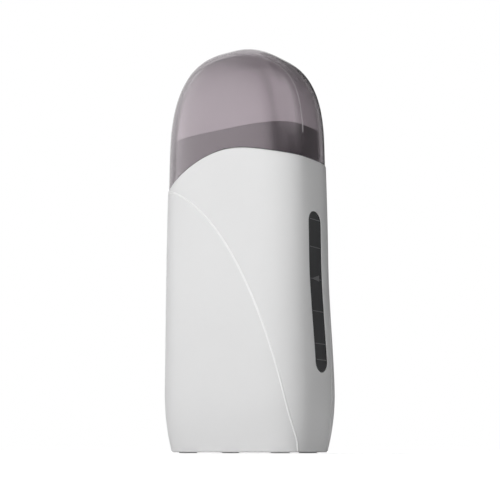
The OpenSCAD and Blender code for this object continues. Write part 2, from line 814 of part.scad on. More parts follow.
module thermal_fuse() {
    color("#d8d2bf") seat_on_base() {
        rod_x(-fuse_len / 2, fuse_len / 2, fuse_y, fuse_z, fuse_r);
        rod_x(-fuse_len / 2 - fuse_lead, fuse_len / 2 + fuse_lead, fuse_y, fuse_z, lead_r);
    }
}

module fuse_sleeve() {
    half = fuse_len / 2 + 2;
    color("#e8e4da") seat_on_base() difference() {
        rod_x(-half, half, fuse_y, fuse_z, sleeve_out);
        rod_x(-half - join, half + join, fuse_y, fuse_z, sleeve_bore);
    }
}

// ---------- back panel ----------

module inlet_socket() {
    color("#242426") seat_on_base() translate([inlet_x, 0, panel_mid]) difference() {
        union() {
            block([-inlet_bezel.x / 2, panel_y + seat, -inlet_bezel.y / 2],
                [inlet_bezel.x / 2, bezel_face, inlet_bezel.y / 2]);
            block([-inlet_body.x / 2, inlet_back_y, -inlet_body.y / 2],
                [inlet_body.x / 2, panel_y + seat + join, inlet_body.y / 2]);
        }
        translate([0, bezel_face + join, 0]) rotate([90, 0, 0])
            linear_extrude(recess_deep + join) stadium(recess_w, recess_h);
        for (x = [-1, 1])
            rod_y(x * pin_pitch / 2, inlet_back_y - join, inlet_floor_y + join, 0, pin_r + tight);
    }
}

module inlet_pins() {
    color("#c8c9cc") seat_on_base() translate([inlet_x, 0, panel_mid])
        for (x = [-1, 1]) rod_y(x * pin_pitch / 2, pin_tail_y, bezel_face - 2, 0, pin_r);
}

module switch_housing() {
    color("#1f1f21") seat_on_base() translate([switch_x, 0, panel_mid]) difference() {
        union() {
            block([-switch_bezel.x / 2, panel_y + seat, -switch_bezel.y / 2],
                [switch_bezel.x / 2, bezel_face, switch_bezel.y / 2]);
            block([-switch_body.x / 2, switch_back_y, -switch_body.y / 2],
                [switch_body.x / 2, panel_y + seat + join, switch_body.y / 2]);
        }
        block([-cavity.x / 2, cavity_back_y, -cavity.y / 2],
            [cavity.x / 2, bezel_face + join, cavity.y / 2]);
        rod_x(-switch_body.x, switch_body.x, pivot_y, 0, pivot_r + tight / 2);
        for (z = terminal_zs) blade(switch_back_y - join, cavity_back_y + join, z, seat);
    }
}

// Upright blade of a terminal from y0 to y1, grown by g
module blade(y0, y1, z, g) {
    half = terminal_half + [g, g];
    block([-half.x, y0, z - half.y], [half.x, y1, z + half.y]);
}

module switch_pivot() {
    color("#b4b6ba") seat_on_base() translate([switch_x, 0, panel_mid])
        rod_x(-switch_body.x / 2, switch_body.x / 2, pivot_y, 0, pivot_r);
}

module switch_terminals() {
    color("#cfae62") seat_on_base() translate([switch_x, 0, panel_mid])
        for (z = terminal_zs) blade(terminal_tail_y, cavity_back_y + contact_proud, z, 0);
}

// The rocker rests on its off side, so its lower end stands out
module rocker_pose() {
    seat_on_base() translate([switch_x, pivot_y, panel_mid]) rotate([rocker_tilt, 0, 0]) children();
}

module switch_rocker() {
    crest = pivot_deep + loose;
    rise = rocker_r * tan(rocker_tilt);
    neck = 3;
    color("#151517") rocker_pose() difference() {
        intersection() {
            rotate([0, 90, 0]) cylinder(h = rocker_w, r = rocker_r, center = true);
            translate([-rocker_w / 2, 0, 0]) rotate([90, 0, 90]) linear_extrude(rocker_w) polygon([
                [-rocker_back, -neck], [0, -rocker_r], [crest + rise, -rocker_r], [crest, 0],
                [crest + rise, rocker_r], [0, rocker_r], [-rocker_back, neck]]);
        }
        rotate([0, 90, 0]) cylinder(h = 2 * rocker_w, r = pivot_r + pivot_fit, center = true);
    }
}

// Bridging contact that rides on the rocker's back
module rocker_contact() {
    half = [2, 2.6];
    sheet = 0.5;
    color("#cfae62") rocker_pose() block([-half.x, -rocker_back - seat - sheet, -half.y],
        [half.x, -rocker_back - seat, half.y]);
}

module pilot_lens() {
    color("#c8371e", 0.8) seat_on_base() {
        rod_y(0, pilot_inner - pilot_flange_t - seat, pilot_surface - pilot_sink, pilot_z, pilot_r);
        rod_y(0, pilot_inner - pilot_flange_t - seat, pilot_inner - seat, pilot_z, pilot_flange_r);
    }
}

lamp_r = 2.4;
lamp_len = 7;
lamp_back_y = pilot_inner - pilot_flange_t - 2 * seat - lamp_len;

module pilot_lamp() {
    color("#e9b58a", 0.8) seat_on_base() {
        rod_y(0, lamp_back_y, lamp_back_y + lamp_len - lamp_r / 2, pilot_z, lamp_r);
        rod_y(0, lamp_back_y, lamp_back_y + lamp_len, pilot_z, lamp_r * 0.8);
    }
}

resistor_r = 1.1;
resistor_half = 3.2;
resistor_x = 8;
resistor_at = [resistor_x, lamp_back_y - 0.6, pilot_z - 4];
module lamp_resistor() {
    color("#cdb68a") seat_on_base() rod_x(resistor_x - resistor_half, resistor_x + resistor_half,
        resistor_at.y, resistor_at.z, resistor_r);
}

// ---------- wires ----------

wire_r = 0.8;
thin_r = 0.45;
// Straight start of a wire, in steps of its first and its second knot
first = 1;
second = 2.5;
live_pin = [inlet_x - pin_pitch / 2, pin_tail_y - loose, panel_mid];
neutral_pin = [inlet_x + pin_pitch / 2, pin_tail_y - loose, panel_mid];
low_blade = [switch_x, terminal_tail_y - loose, panel_mid + terminal_zs[0]];
high_blade = [switch_x, terminal_tail_y - loose, panel_mid + terminal_zs[1]];
fuse_right = [fuse_len / 2 + fuse_lead + loose, fuse_y, fuse_z];
fuse_left = [-fuse_len / 2 - fuse_lead - loose, fuse_y, fuse_z];
// Depth at which wires rise behind the holder
riser_y = holder_back + 3;
ahead = [0, -1, 0];

// Knots of a straight stretch that leaves p along d, and of one that arrives there
function leave(p, d) = [p, p + first * d, p + second * d];
function arrive(p, d) = [p + second * d, p + first * d, p];
module route(start, middle, end, r) { wire(curve(concat(start, middle, end), 4), r); }

module wire_live() {
    color("#7a4a2c") seat_on_base() route(
        leave(live_pin, ahead),
        [[(live_pin.x + low_blade.x) / 2, min(live_pin.y, low_blade.y) - 6, low_blade.z - 2]],
        arrive(low_blade, ahead), wire_r);
}

module wire_switched() {
    color("#7a4a2c") seat_on_base() route(
        leave(high_blade, ahead),
        [[well_w / 2 - 7, riser_y - 1, holder_low + 1], [well_w / 2 - 7, riser_y + 2, fuse_z - 8]],
        arrive(fuse_right, [1, 0, 0]), wire_r);
}

module wire_fused() {
    tab = [-tab_x - tab_w / 2 - loose, front_electrode_y + wire_r, tab_low + 2];
    color("#c23b2c") seat_on_base() route(
        leave(fuse_left, [-1, 0, 0]),
        [[fuse_left.x - 5, fuse_y, (fuse_z + tab.z) / 2]],
        arrive(tab, [-1, 0, 0]), wire_r);
}

module wire_neutral() {
    tab = [tab_x, rear_electrode_y, tab_low - loose];
    color("#3a6ea5") seat_on_base() route(
        leave(neutral_pin, ahead),
        [[neutral_pin.x - 10, riser_y - 4, holder_low - 4],
            [neutral_pin.x - 14, riser_y + 1.5, holder_low + 6],
            [neutral_pin.x - 6, riser_y + 3, fuse_z - 7],
            [tab.x - 4, riser_y + 5.5, fuse_z - 4]],
        arrive(tab, [0, 0, -1]), wire_r);
}

module lamp_leads() {
    lamp = [1, lamp_back_y - loose, pilot_z];
    half = resistor_half + loose;
    on_pin = neutral_pin + [0, 1.4, pin_r + loose];
    on_blade = high_blade + [0.4 + loose, 2.5, 1];
    color("#9fa3a8") seat_on_base() {
        route(leave([-lamp.x, lamp.y, lamp.z], ahead),
            [[-3, riser_y - 0.4, holder_low + 2], [neutral_pin.x, inlet_back_y - 1.2, holder_low - 5]],
            arrive(on_pin, [0, 0, 1]), thin_r);
        route(leave(lamp, ahead), [], arrive(resistor_at - [half, 0, 0], [-0.4, 0, 0]), thin_r);
        route(leave(resistor_at + [half, 0, 0], [0.5, 0, 0]),
            [[switch_x + 3, switch_back_y - 3, panel_top + 3]],
            arrive(on_blade, [1, 0, 0]), thin_r);
    }
}

// ---------- fasteners and feet ----------

module case_screws() {
    head_t = 1.8;
    slot = [0.9, 2, 3.4];
    color("#9a9da2") seat_on_base() for (p = screw_places) difference() {
        union() {
            rod_y(p.x, part_y - screw_grip, head_seat_y + seat + join, p.y, screw_r);
            rod_y(p.x, head_seat_y + seat, head_seat_y + seat + head_t, p.y, head_r);
        }
        for (a = [0, 90]) translate([p.x, head_seat_y + seat + head_t, p.y]) rotate([0, a, 0])
            cube(slot, center = true);
    }
}

module rubber_feet() {
    barb = 0.8;
    barb_out = 0.7;
    color("#2b2b2d") seat_on_base() for (p = concat(front_feet, rear_feet)) translate([p.x, p.y, 0]) {
        cylinder(h = foot_gap + foot_inset - seat, r = foot_r);
        cylinder(h = floor_top + barb, r = foot_stem_r);
        translate([0, 0, floor_top + seat])
            cylinder(h = barb, r1 = foot_stem_r + barb_out, r2 = foot_stem_r);
    }
}

front_shell();
rear_shell();
window_lens();
collar();
cap();
cartridge_holder();
cartridge_spring();
heating_plate();
ptc_pills();
electrode_front();
electrode_rear();
insulation_wrap();
ptc_clamp();
clamp_screws();
thermal_fuse();
fuse_sleeve();
inlet_socket();
inlet_pins();
switch_housing();
switch_pivot();
switch_rocker();
rocker_contact();
switch_terminals();
pilot_lens();
pilot_lamp();
lamp_resistor();
wire_live();
wire_switched();
wire_fused();
wire_neutral();
lamp_leads();
case_screws();
rubber_feet();
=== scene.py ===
"""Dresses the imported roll-on wax heater: smooth shells, cap, collar, window and back panel."""
import logging
import math
from dataclasses import dataclass, field
from enum import Enum
from typing import Callable, Iterable, Sequence

import bmesh
import bpy
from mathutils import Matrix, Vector
from mathutils.geometry import tessellate_polygon


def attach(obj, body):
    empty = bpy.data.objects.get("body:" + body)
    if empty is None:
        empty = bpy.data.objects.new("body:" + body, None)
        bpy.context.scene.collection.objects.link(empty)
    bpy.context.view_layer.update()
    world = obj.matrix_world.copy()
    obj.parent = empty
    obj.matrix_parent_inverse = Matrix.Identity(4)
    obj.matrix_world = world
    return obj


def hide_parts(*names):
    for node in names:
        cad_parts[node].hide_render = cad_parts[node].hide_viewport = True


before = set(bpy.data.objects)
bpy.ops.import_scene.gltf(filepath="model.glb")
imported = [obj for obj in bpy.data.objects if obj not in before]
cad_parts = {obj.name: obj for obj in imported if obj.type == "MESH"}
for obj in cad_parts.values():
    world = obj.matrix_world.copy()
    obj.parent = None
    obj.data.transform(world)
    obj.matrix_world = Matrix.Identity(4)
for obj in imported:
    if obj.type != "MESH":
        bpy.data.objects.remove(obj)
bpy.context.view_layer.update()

MM = 0.001
LOG = logging.getLogger("wax_heater")

# Distance under which two points are one, and length under which an edge is none
MERGE = 0.002 * MM
NO_EDGE = 0.0005 * MM
# Radius, in millimetres, at which a turned profile counts as closed
NEAR_AXIS = 0.01
# How much finer the rings of a sheet get toward an opening
RING_EASE = 2.2
# Sides of a round bead's section
BEAD_SIDES = 14

Point = tuple[float, float, float]
Flat = tuple[float, float]
Face = tuple[int, ...]
# Point of a sheet that is drawn back from its edges by the first number and sunk by the second
Place = Callable[[float, float], Point]
# Point of a surface at two flat coordinates and a depth below it
Chart = Callable[[float, float, float], Point]
# Point of an upright line of a shell at a height, an edge and an inset
Column = Callable[[float, float, float], Point]
# Direction of such a line in degrees from +X, at a height, an edge and an inset
Bearing = Callable[[float, float, float], float]


def lerp(a: float, b: float, t: float) -> float:
    """Returns the value a share t of the way from a to b."""
    return a + (b - a) * t


def clamp(value: float, low: float, high: float) -> float:
    """Returns value, held between low and high."""
    return min(high, max(low, value))


def smooth(t: float) -> float:
    """Returns the smooth step of t from 0 to 1."""
    s = clamp(t, 0.0, 1.0)
    return s * s * (3 - 2 * s)


def spread(a: float, b: float, count: int) -> list[float]:
    """Returns count + 1 even values from a to b."""
    return [lerp(a, b, i / count) for i in range(count + 1)]


def nearest(values: Sequence[float], wanted: float) -> int:
    """Returns the number of the value that is nearest to the wanted one."""
    return min(range(len(values)), key=lambda k: abs(values[k] - wanted))


@dataclass(frozen=True)
class BodyLaw:
    """Outer shape of the closed body, in millimetres, about its widest line.

    The values and the rules are those of the part's source.

    Attributes:
        total_h: Height of the closed heater.
        body_w: Greatest width.
        front_deep: Depth in front of the widest line.
        back_deep: Depth behind it.
        heel: How much the heel adds to the depth behind.
        heel_top: Height where the heel starts to swell.
        heel_low: Height where it is full.
        corner: Power of the outline seen from above.
        foot_round: How far the wall draws in at the base.
        foot_h: Height over which it does.
        taper_w: How far each side draws in at the top.
        taper_low: Height where that starts.
        dome_low: Height where the dome starts.
        dome_round: Power of the dome's curve across the width.
        dome_square: Power of its curve across the depth.
        wall: Thickness of the shells.
        foot_gap: Gap under the shells.
        part_y: Depth of the parting plane.
        part_gap: Gap between the shells.
        seam_peak: Height of the seam's highest place, on the front.
        seam_peak_x: Sideways place of it.
        seam_falls: How far the seam falls to its left and to its right.
        seam_runs: Width over which it does.
    """

    total_h: float = 205.0
    body_w: float = 85.0
    front_deep: float = 24.3
    back_deep: float = 25.0
    heel: float = 7.0
    heel_top: float = 95.0
    heel_low: float = 25.0
    corner: float = 3.4
    foot_round: float = 3.6
    foot_h: float = 30.0
    taper_w: float = 3.9
    taper_low: float = 90.0
    dome_low: float = 151.8
    dome_round: float = 2.62
    dome_square: float = 4.28
    wall: float = 2.2
    foot_gap: float = 0.4
    part_y: float = 14.0
    part_gap: float = 0.3
    seam_peak: float = 149.2
    seam_peak_x: float = 6.0
    seam_falls: Flat = (14.3, 3.3)
    seam_runs: Flat = (41.0, 22.0)

    @property
    def mid_y(self) -> float:
        """Place of the widest line in the row frame."""
        return (self.front_deep - self.back_deep - self.heel) / 2

    def foot_in(self, z: float) -> float:
        """Returns how far the wall draws in near the base."""
        return self.foot_round * max(0.0, 1 - z / self.foot_h) ** 2

    def taper(self, z: float) -> float:
        """Returns the share of the top's draw-in."""
        return max(0.0, (z - self.taper_low) / (self.total_h - self.taper_low)) ** 2

    def heel_out(self, z: float) -> float:
        """Returns the swell of the heel."""
        return self.heel * smooth((self.heel_top - z) / (self.heel_top - self.heel_low))

    def dome(self, z: float, inset: float, power: float) -> float:
        """Returns the shrink factor of the dome."""
        h = clamp((z - self.dome_low) / (self.total_h - inset - self.dome_low), 0.0, 1.0)
        return (1 - h**power) ** (1 / power)

    def half_w(self, z: float, inset: float = 0.0) -> float:
        """Returns the half width."""
        straight = self.body_w / 2 - self.foot_in(z) - self.taper_w * self.taper(z) - inset
        return straight * self.dome(z, inset, self.dome_round)

    def deep(self, z: float, inset: float, back: bool) -> float:
        """Returns the depth behind or in front of the widest line.

        Args:
            z: Height of the place.
            inset: Depth below the outer face.
            back: Whether it is the depth behind.

        Returns:
            The depth.
        """
        reach = self.back_deep + self.heel_out(z) if back else self.front_deep
        straight = reach - self.foot_in(z) - inset
        return straight * self.dome(z, inset, self.dome_square)

    def outline(self, angle: float, z: float, inset: float = 0.0) -> Point:
        """Returns the point of the outline in a direction.

        Args:
            angle: The direction, in degrees from +X.
            z: Height of the outline.
            inset: Depth below the outer face.

        Returns:
            The point.
        """
        c, s = math.cos(math.radians(angle)), math.sin(math.radians(angle))
        k = (abs(c) ** self.corner + abs(s) ** self.corner) ** (-1 / self.corner)
        return (self.half_w(z, inset) * k * c, self.deep(z, inset, s > 0) * k * s, z)

    def fall_off(self, share: float) -> float:
        """Returns the outline's second share where its first share is given."""
        return max(0.0, 1 - min(1.0, abs(share)) ** self.corner) ** (1 / self.corner)

    def side(self, y: float, z: float, inset: float) -> Point:
        """Returns the point of the right side at depth y."""
        return (self.half_w(z, inset) * self.fall_off(y / self.deep(z, inset, y > 0)), y, z)

    def front(self, x: float, z: float, inset: float) -> Point:
        """Returns the point of the front at sideways place x."""
        return (x, -self.deep(z, inset, False) * self.fall_off(x / self.half_w(z, inset)), z)

    def back(self, x: float, z: float, inset: float) -> Point:
        """Returns the point of the back at sideways place x."""
        return (x, self.deep(z, inset, True) * self.fall_off(x / self.half_w(z, inset)), z)

    def angle_at_y(self, y: float, z: float, inset: float) -> float:
        """Returns the direction in which the right side crosses depth y."""
        share = y / self.deep(z, inset, y > 0)
        return math.degrees(math.atan2(share, self.fall_off(share)))

    def angle_at_x(self, x: float, z: float, inset: float) -> float:
        """Returns the direction in which the back crosses sideways place x."""
        share = x / self.half_w(z, inset)
        return math.degrees(math.atan2(self.fall_off(share), share))

    def wave(self, x: float) -> float:
        """Returns the seam's height on the front.

        Args:
            x: Sideways place, at the height of the seam's peak.

        Returns:
            The height.
        """
        side = 0 if x < self.seam_peak_x else 1
        turn = math.radians(90 * abs(x - self.seam_peak_x) / self.seam_runs[side])
        return self.seam_peak - self.seam_falls[side] * (1 - math.cos(turn))

    def seam_over(self, point: Point, inset: float) -> float:
        """Returns the seam's height in the direction of a point of the outline.

        Args:
            point: The point.
            inset: Its depth below the outer face.

        Returns:
            The height.
        """
        edge = self.half_w(self.seam_peak)
        x = point[0] * edge / self.half_w(point[2], inset)
        if point[1] < 0:
            return self.wave(x)
        return lerp(self.wave(-edge), self.wave(edge), smooth(x / edge / 2 + 0.5))

    def seam_on(self, column: Callable[[float], Point], inset: float) -> float:
        """Returns the height at which an upright line reaches the seam.

        Args:
            column: Returns the line's point at a height.
            inset: Its depth below the outer face.

        Returns:
            The height, after a few steps toward it.
        """
        z = self.seam_peak
        for _ in range(3):
            z = self.seam_over(column(z), inset)
        return z


LAW = BodyLaw()


# ---------- meshes ----------


@dataclass
class Draft:
    """Points in millimetres about the widest line, and the faces between them."""

    points: list[Point] = field(default_factory=list)
    faces: list[Face] = field(default_factory=list)

    def add(self, points: Iterable[Point]) -> int:
        """Adds points.

        Args:
            points: The points.

        Returns:
            The number of the first one.
        """
        first = len(self.points)
        self.points.extend(points)
        return first

    def band(self, lower: Sequence[int], upper: Sequence[int]) -> None:
        """Joins two closed rows of points with a band of faces.

        Args:
            lower: Numbers of the first row.
            upper: Numbers of the second row.
        """
        for i in range(len(lower)):
            j = (i + 1) % len(lower)
            self.faces.append((lower[i], lower[j], upper[j], upper[i]))

    def tube(self, rows: Sequence[Sequence[Point]]) -> None:
        """Adds a tube of closed rows, which is open at its first and its last row.

        Args:
            rows: The rows, all of the same length.
        """
        firsts = [self.add(row) for row in rows]
        count = len(rows[0])
        for a, b in zip(firsts, firsts[1:]):
            self.band(range(a, a + count), range(b, b + count))

    def loop(self, rows: Sequence[Sequence[Point]]) -> None:
        """Adds a tube of closed rows, whose last row is joined to its first one."""
        self.tube([*rows, rows[0]])

    def join(self, other: "Draft") -> None:
        """Takes over the points and faces of another draft."""
        first = self.add(other.points)
        self.faces.extend(tuple(first + i for i in face) for face in other.faces)

    def build(self, name: str, material: bpy.types.Material, sharp: float = 40.0) -> bpy.types.Object:
        """Makes the object, in the row frame, with smooth faces and sharp edges.

        Args:
            name: The object's name.
            material: Its finish.
            sharp: Angle over which an edge stays sharp, in degrees.

        Returns:
            The new object, at the origin.
        """
        mesh = bpy.data.meshes.new(name)
        mesh.from_pydata(in_row_frame(self.points), [], self.faces)
        work = bmesh.new()
        work.from_mesh(mesh)
        bmesh.ops.remove_doubles(work, verts=work.verts, dist=MERGE)
        bmesh.ops.dissolve_degenerate(work, edges=work.edges, dist=NO_EDGE)
        bmesh.ops.recalc_face_normals(work, faces=work.faces)
        work.to_mesh(mesh)
        work.free()
        mesh.polygons.foreach_set("use_smooth", [True] * len(mesh.polygons))
        mesh.set_sharp_from_angle(angle=math.radians(sharp))
        mesh.materials.append(material)
        piece = linked(name, mesh)
        even = piece.modifiers.new("even_gloss", "WEIGHTED_NORMAL")
        even.keep_sharp = True
        piece.data = made_plain(piece, even)
        return piece


def in_row_frame(points: Iterable[Point]) -> list[Point]:
    """Returns points about the widest line, in millimetres, as points of the row frame."""
    return [(x * MM, (y + LAW.mid_y) * MM, z * MM) for x, y, z in points]


def linked(name: str, data: bpy.types.ID) -> bpy.types.Object:
    """Makes an object and links it to the scene.

    Args:
        name: Its name.
        data: Its mesh, lamp or camera.

    Returns:
        The object.
    """
    made = bpy.data.objects.new(name, data)
    bpy.context.scene.collection.objects.link(made)
    return made


def made_plain(piece: bpy.types.Object, modifier: bpy.types.Modifier) -> bpy.types.Mesh:
    """Runs a modifier and removes it.

    Args:
        piece: The object that holds it.
        modifier: The modifier.

    Returns:
        The mesh that it made.
    """
    ready = piece.evaluated_get(bpy.context.evaluated_depsgraph_get())
    mesh = bpy.data.meshes.new_from_object(ready)
    piece.modifiers.remove(modifier)
    return mesh


def circle(u: float, v: float, radius: float, count: int = 48) -> list[Flat]:
    """Returns the points of a flat circle."""
    turns = (2 * math.pi * i / count for i in range(count))
    return [(u + radius * math.cos(t), v + radius * math.sin(t)) for t in turns]


def rounded(u: float, v: float, width: float, height: float, radius: float) -> list[Flat]:
    """Returns the points of a flat rectangle with round corners.

    Args:
        u: First flat place of its middle.
        v: Second flat place of its middle.
        width: Its width.
        height: Its height.
        radius: Radius of its corners.

    Returns:
        The points, in order.
    """
    points = []
    for turn, (su, sv) in enumerate(((1, 1), (-1, 1), (-1, -1), (1, -1))):
        cu, cv = u + su * (width / 2 - radius), v + sv * (height / 2 - radius)
        for step in range(9):
            a = math.radians(90 * turn + 90 * step / 8)
            points.append((cu + radius * math.cos(a), cv + radius * math.sin(a)))
    return points


def on_back(u: float, v: float, depth: float) -> Point:
    """Returns the point of a flat drawing that faces the back, at a depth."""
    return (u, depth, v)


def on_base(u: float, v: float, depth: float) -> Point:
    """Returns the point of a flat drawing that lies down, at a height."""
    return (u, v, depth)


def slab(
    outline: Sequence[Flat], holes: Sequence[Sequence[Flat]], low: float, high: float, seat: Chart
) -> Draft:
    """Makes a flat plate with holes.

    Args:
        outline: Points of its outline.
        holes: Outlines of its holes.
        low: Depth of one face.
        high: Depth of the other face.
        seat: Places a flat point at a depth.

    Returns:
        The closed plate.
    """
    draft = Draft()
    rings = [list(outline), *[list(hole) for hole in holes]]
    flat = [p for ring in rings for p in ring]
    count = len(flat)
    draft.add(seat(u, v, low) for u, v in flat)
    draft.add(seat(u, v, high) for u, v in flat)
    for face in tessellate_polygon([[Vector((u, v, 0)) for u, v in ring] for ring in rings]):
        draft.faces.append(tuple(face))
        draft.faces.append(tuple(count + i for i in reversed(face)))
    first = 0
    for ring in rings:
        row = range(first, first + len(ring))
        draft.band(row, [count + i for i in row])
        first += len(ring)
    return draft


def turned(profile: Sequence[Flat], u: float, v: float, seat: Chart, count: int = 40) -> Draft:
    """Makes a ring or a solid of revolution from a closed profile.

    Args:
        profile: Radius and depth of each point, in order.
        u: First flat place of the axis.
        v: Second flat place of the axis.
        seat: Places a flat point at a depth.
        count: Points round the axis.

    Returns:
        The closed solid.
    """
    draft = Draft()
    draft.loop([
        [seat(p, q, depth) for p, q in circle(u, v, radius, count)] for radius, depth in profile])
    return draft


@dataclass(frozen=True)
class Opening:
    """Opening with round ends or corners, in a surface seen from one side.

    Attributes:
        u: First flat place of its middle.
        v: Second flat place of its middle.
        core_u: Half width of its straight part.
        core_v: Half height of its straight part.
        radius: Radius of its corners.
        lean: Sideways shift of the middle at each height.
        ease: Share of the wall's rim rounding that it takes.
    """

    u: float
    v: float
    core_u: float
    core_v: float
    radius: float
    lean: Callable[[float], float] = lambda v: 0.0
    ease: float = 1.0

    def edge_point(self, u: float, v: float, grow: float) -> Flat:
        """Returns the point of the grown outline that is nearest to a place.

        Args:
            u: First flat place.
            v: Second flat place.
            grow: How far the outline is grown.

        Returns:
            The point.
        """
        core_v = clamp(v, self.v - self.core_v, self.v + self.core_v)
        middle = self.u + self.lean(core_v)
        core_u = clamp(u, middle - self.core_u, middle + self.core_u)
        du, dv = u - core_u, v - core_v
        reach = (self.radius + grow) / max(1e-6, math.hypot(du, dv))
        return (core_u + du * reach, core_v + dv * reach)


@dataclass(frozen=True)
class Block:
    """Block of grid cells that is given over to an opening."""

    cols: tuple[int, int]
    rows: tuple[int, int]
    opening: Opening

    def border(self) -> list[tuple[int, int]]:
        """Returns the columns and rows round the block, in order."""
        (c0, c1), (r0, r1) = self.cols, self.rows
        return (
            [(j, r0) for j in range(c0, c1)] + [(c1, i) for i in range(r0, r1)]
            + [(j, r1) for j in range(c1, c0, -1)] + [(c0, i) for i in range(r1, r0, -1)])


def rim_profile(wall: float, outer: float, inner: float, steps: int = 4) -> list[Flat]:
    """Returns the edge and inset of each ring round a wall's rounded rim.

    Args:
        wall: Thickness of the wall.
        outer: Radius of the outer edge.
        inner: Radius of the inner edge.
        steps: Rings of each round.

    Returns:
        The rings, from the outer to the inner sheet.
    """
    turns = [math.radians(90 * i / steps) for i in range(steps + 1)]
    first = [(outer * (1 - math.sin(t)), outer * (1 - math.cos(t))) for t in turns]
    last = [(inner * (1 - math.cos(t)), wall - inner * (1 - math.sin(t))) for t in turns]
    return first + last


def thick_skin(places: Sequence[Place], quads: Sequence[Face], profile: Sequence[Flat]) -> Draft:
    """Makes a closed wall from a sheet of places.

    Args:
        places: The sheet's places.
        quads: The sheet's faces, seen from outside.
        profile: Edge and inset of each ring of the rim, from the outer to the inner sheet.

    Returns:
        The closed wall.
    """
    draft = Draft()
    outer = draft.add(place(*profile[0]) for place in places)
    inner = draft.add(place(*profile[-1]) for place in places)
    edges = {(a, b) for quad in quads for a, b in zip(quad, quad[1:] + quad[:1])}
    rims = [(a, b) for a, b in edges if (b, a) not in edges]
    border = sorted({a for a, _ in rims})
    rings = [{a: outer + a for a in border}]
    for ring in profile[1:-1]:
        first = draft.add(places[a](*ring) for a in border)
        rings.append({a: first + i for i, a in enumerate(border)})
    rings.append({a: inner + a for a in border})
    draft.faces.extend(tuple(outer + i for i in quad) for quad in quads)
    draft.faces.extend(tuple(inner + i for i in reversed(quad)) for quad in quads)
    for a, b in rims:
        for low, high in zip(rings, rings[1:]):
            draft.faces.append((low[b], low[a], high[a], high[b]))
    return draft


def sheet_with_openings(
    at: Callable[[int, int], Place], size: tuple[int, int], blocks: Sequence[Block],
    flat: Callable[[int, int], Flat], chart: Chart, rings: int = 5
) -> tuple[list[Place], list[Face]]:
    """Lays out a grid of places, with fine rings of places round each opening.

    Args:
        at: Returns the place at a column and a row.
        size: Last column and last row.
        blocks: Blocks of cells that hold an opening.
        flat: Returns the flat place of a column and a row inside a block.
        chart: Places a flat point on the surface.
        rings: Rings of faces between an opening and its block.

    Returns:
        The places and the faces.
    """
    cols, rows = size
    stride = rows + 1
    places = [at(j, i) for j in range(cols + 1) for i in range(rows + 1)]
    taken = {
        (j, i) for block in blocks
        for j in range(*block.cols) for i in range(*block.rows)}
    quads: list[Face] = [
        (j * stride + i, (j + 1) * stride + i, (j + 1) * stride + i + 1, j * stride + i + 1)
        for j in range(cols) for i in range(rows) if (j, i) not in taken]
    for block in blocks:
        border = block.border()
        outer = [j * stride + i for j, i in border]
        for ring in range(1, rings + 1):
            share = (1 - ring / rings) ** RING_EASE
            inner = list(range(len(places), len(places) + len(border)))
            places += [ring_place(block.opening, flat(j, i), share, chart) for j, i in border]
            turned_on = zip(outer, outer[1:] + outer[:1], inner[1:] + inner[:1], inner)
            quads += list(turned_on)
            outer = inner
    return places, quads


def ring_place(opening: Opening, corner: Flat, share: float, chart: Chart) -> Place:
    """Returns a place between an opening's edge and the border of its block.

    Args:
        opening: The opening.
        corner: Flat place on the border.
        share: Share of the way from the opening's edge to it.
        chart: Places a flat point on the surface.

    Returns:
        The place.
    """

    def place(edge: float, inset: float) -> Point:
        """Returns the point for an edge and an inset."""
        u, v = opening.edge_point(corner[0], corner[1], edge * opening.ease)
        return chart(lerp(u, corner[0], share), lerp(v, corner[1], share), inset)

    return place


def column_between(low: Bearing, high: Bearing, t: float) -> Column:
    """Returns an upright line of the outline between two others.

    Args:
        low: Direction of the first one.
        high: Direction of the last one.
        t: Share of the way from the first to the last.

    Returns:
        The line.
    """

    def column(z: float, edge: float, inset: float) -> Point:
        """Returns the line's point at a height, for an edge and an inset."""
        return LAW.outline(lerp(low(z, edge, inset), high(z, edge, inset), t), z, inset)

    return column


# ---------- node trees ----------


def feed(node: bpy.types.Node, inputs: dict[str | int, object]) -> None:
    """Sets or links some inputs of a node.

    Args:
        node: The node.
        inputs: Value of each input, or the socket that it is linked to, by its name or number.
    """
    for key, value in inputs.items():
        if isinstance(value, bpy.types.NodeSocket):
            node.id_data.links.new(value, node.inputs[key])
        else:
            node.inputs[key].default_value = value


def add_node(
    tree: bpy.types.NodeTree, kind: str, inputs: dict[str | int, object] | None = None
) -> bpy.types.Node:
    """Adds a node to a tree.

    Args:
        tree: The tree.
        kind: The node's type.
        inputs: Value of each input, or the socket that it is linked to, by its name or number.

    Returns:
        The node.
    """
    node = tree.nodes.new(kind)
    feed(node, inputs or {})
    return node


def math_node(
    tree: bpy.types.NodeTree, operation: str, first: bpy.types.NodeSocket,
    second: bpy.types.NodeSocket
) -> bpy.types.NodeSocket:
    """Adds a Math node on two sockets.

    Args:
        tree: The tree.
        operation: What it does.
        first: Its first socket.
        second: Its second socket.

    Returns:
        Its result.
    """
    node = add_node(tree, "ShaderNodeMath", {0: first, 1: second})
    node.operation = operation
    return node.outputs[0]


def new_material(name: str) -> bpy.types.Material:
    """Returns a new material that is built from nodes.

    Args:
        name: Its name.

    Returns:
        The material, with a Principled BSDF and its output.
    """
    material = bpy.data.materials.new(name)
    material.use_nodes = True
    return material


# ---------- finishes ----------


class Grain(Enum):
    """Fine relief of a surface."""

    POLISHED = "polished"
    SATIN = "satin"
    SPARK = "spark"
    BRUSHED = "brushed"
    ROLLED = "rolled"
    FIRED = "fired"
    BRAID = "braid"


@dataclass(frozen=True)
class GrainSpec:
    """Relief of one grain: stretch of its noise, noise scale per metre, and depth in metres."""

    stretch: Point
    scale: float
    depth: float


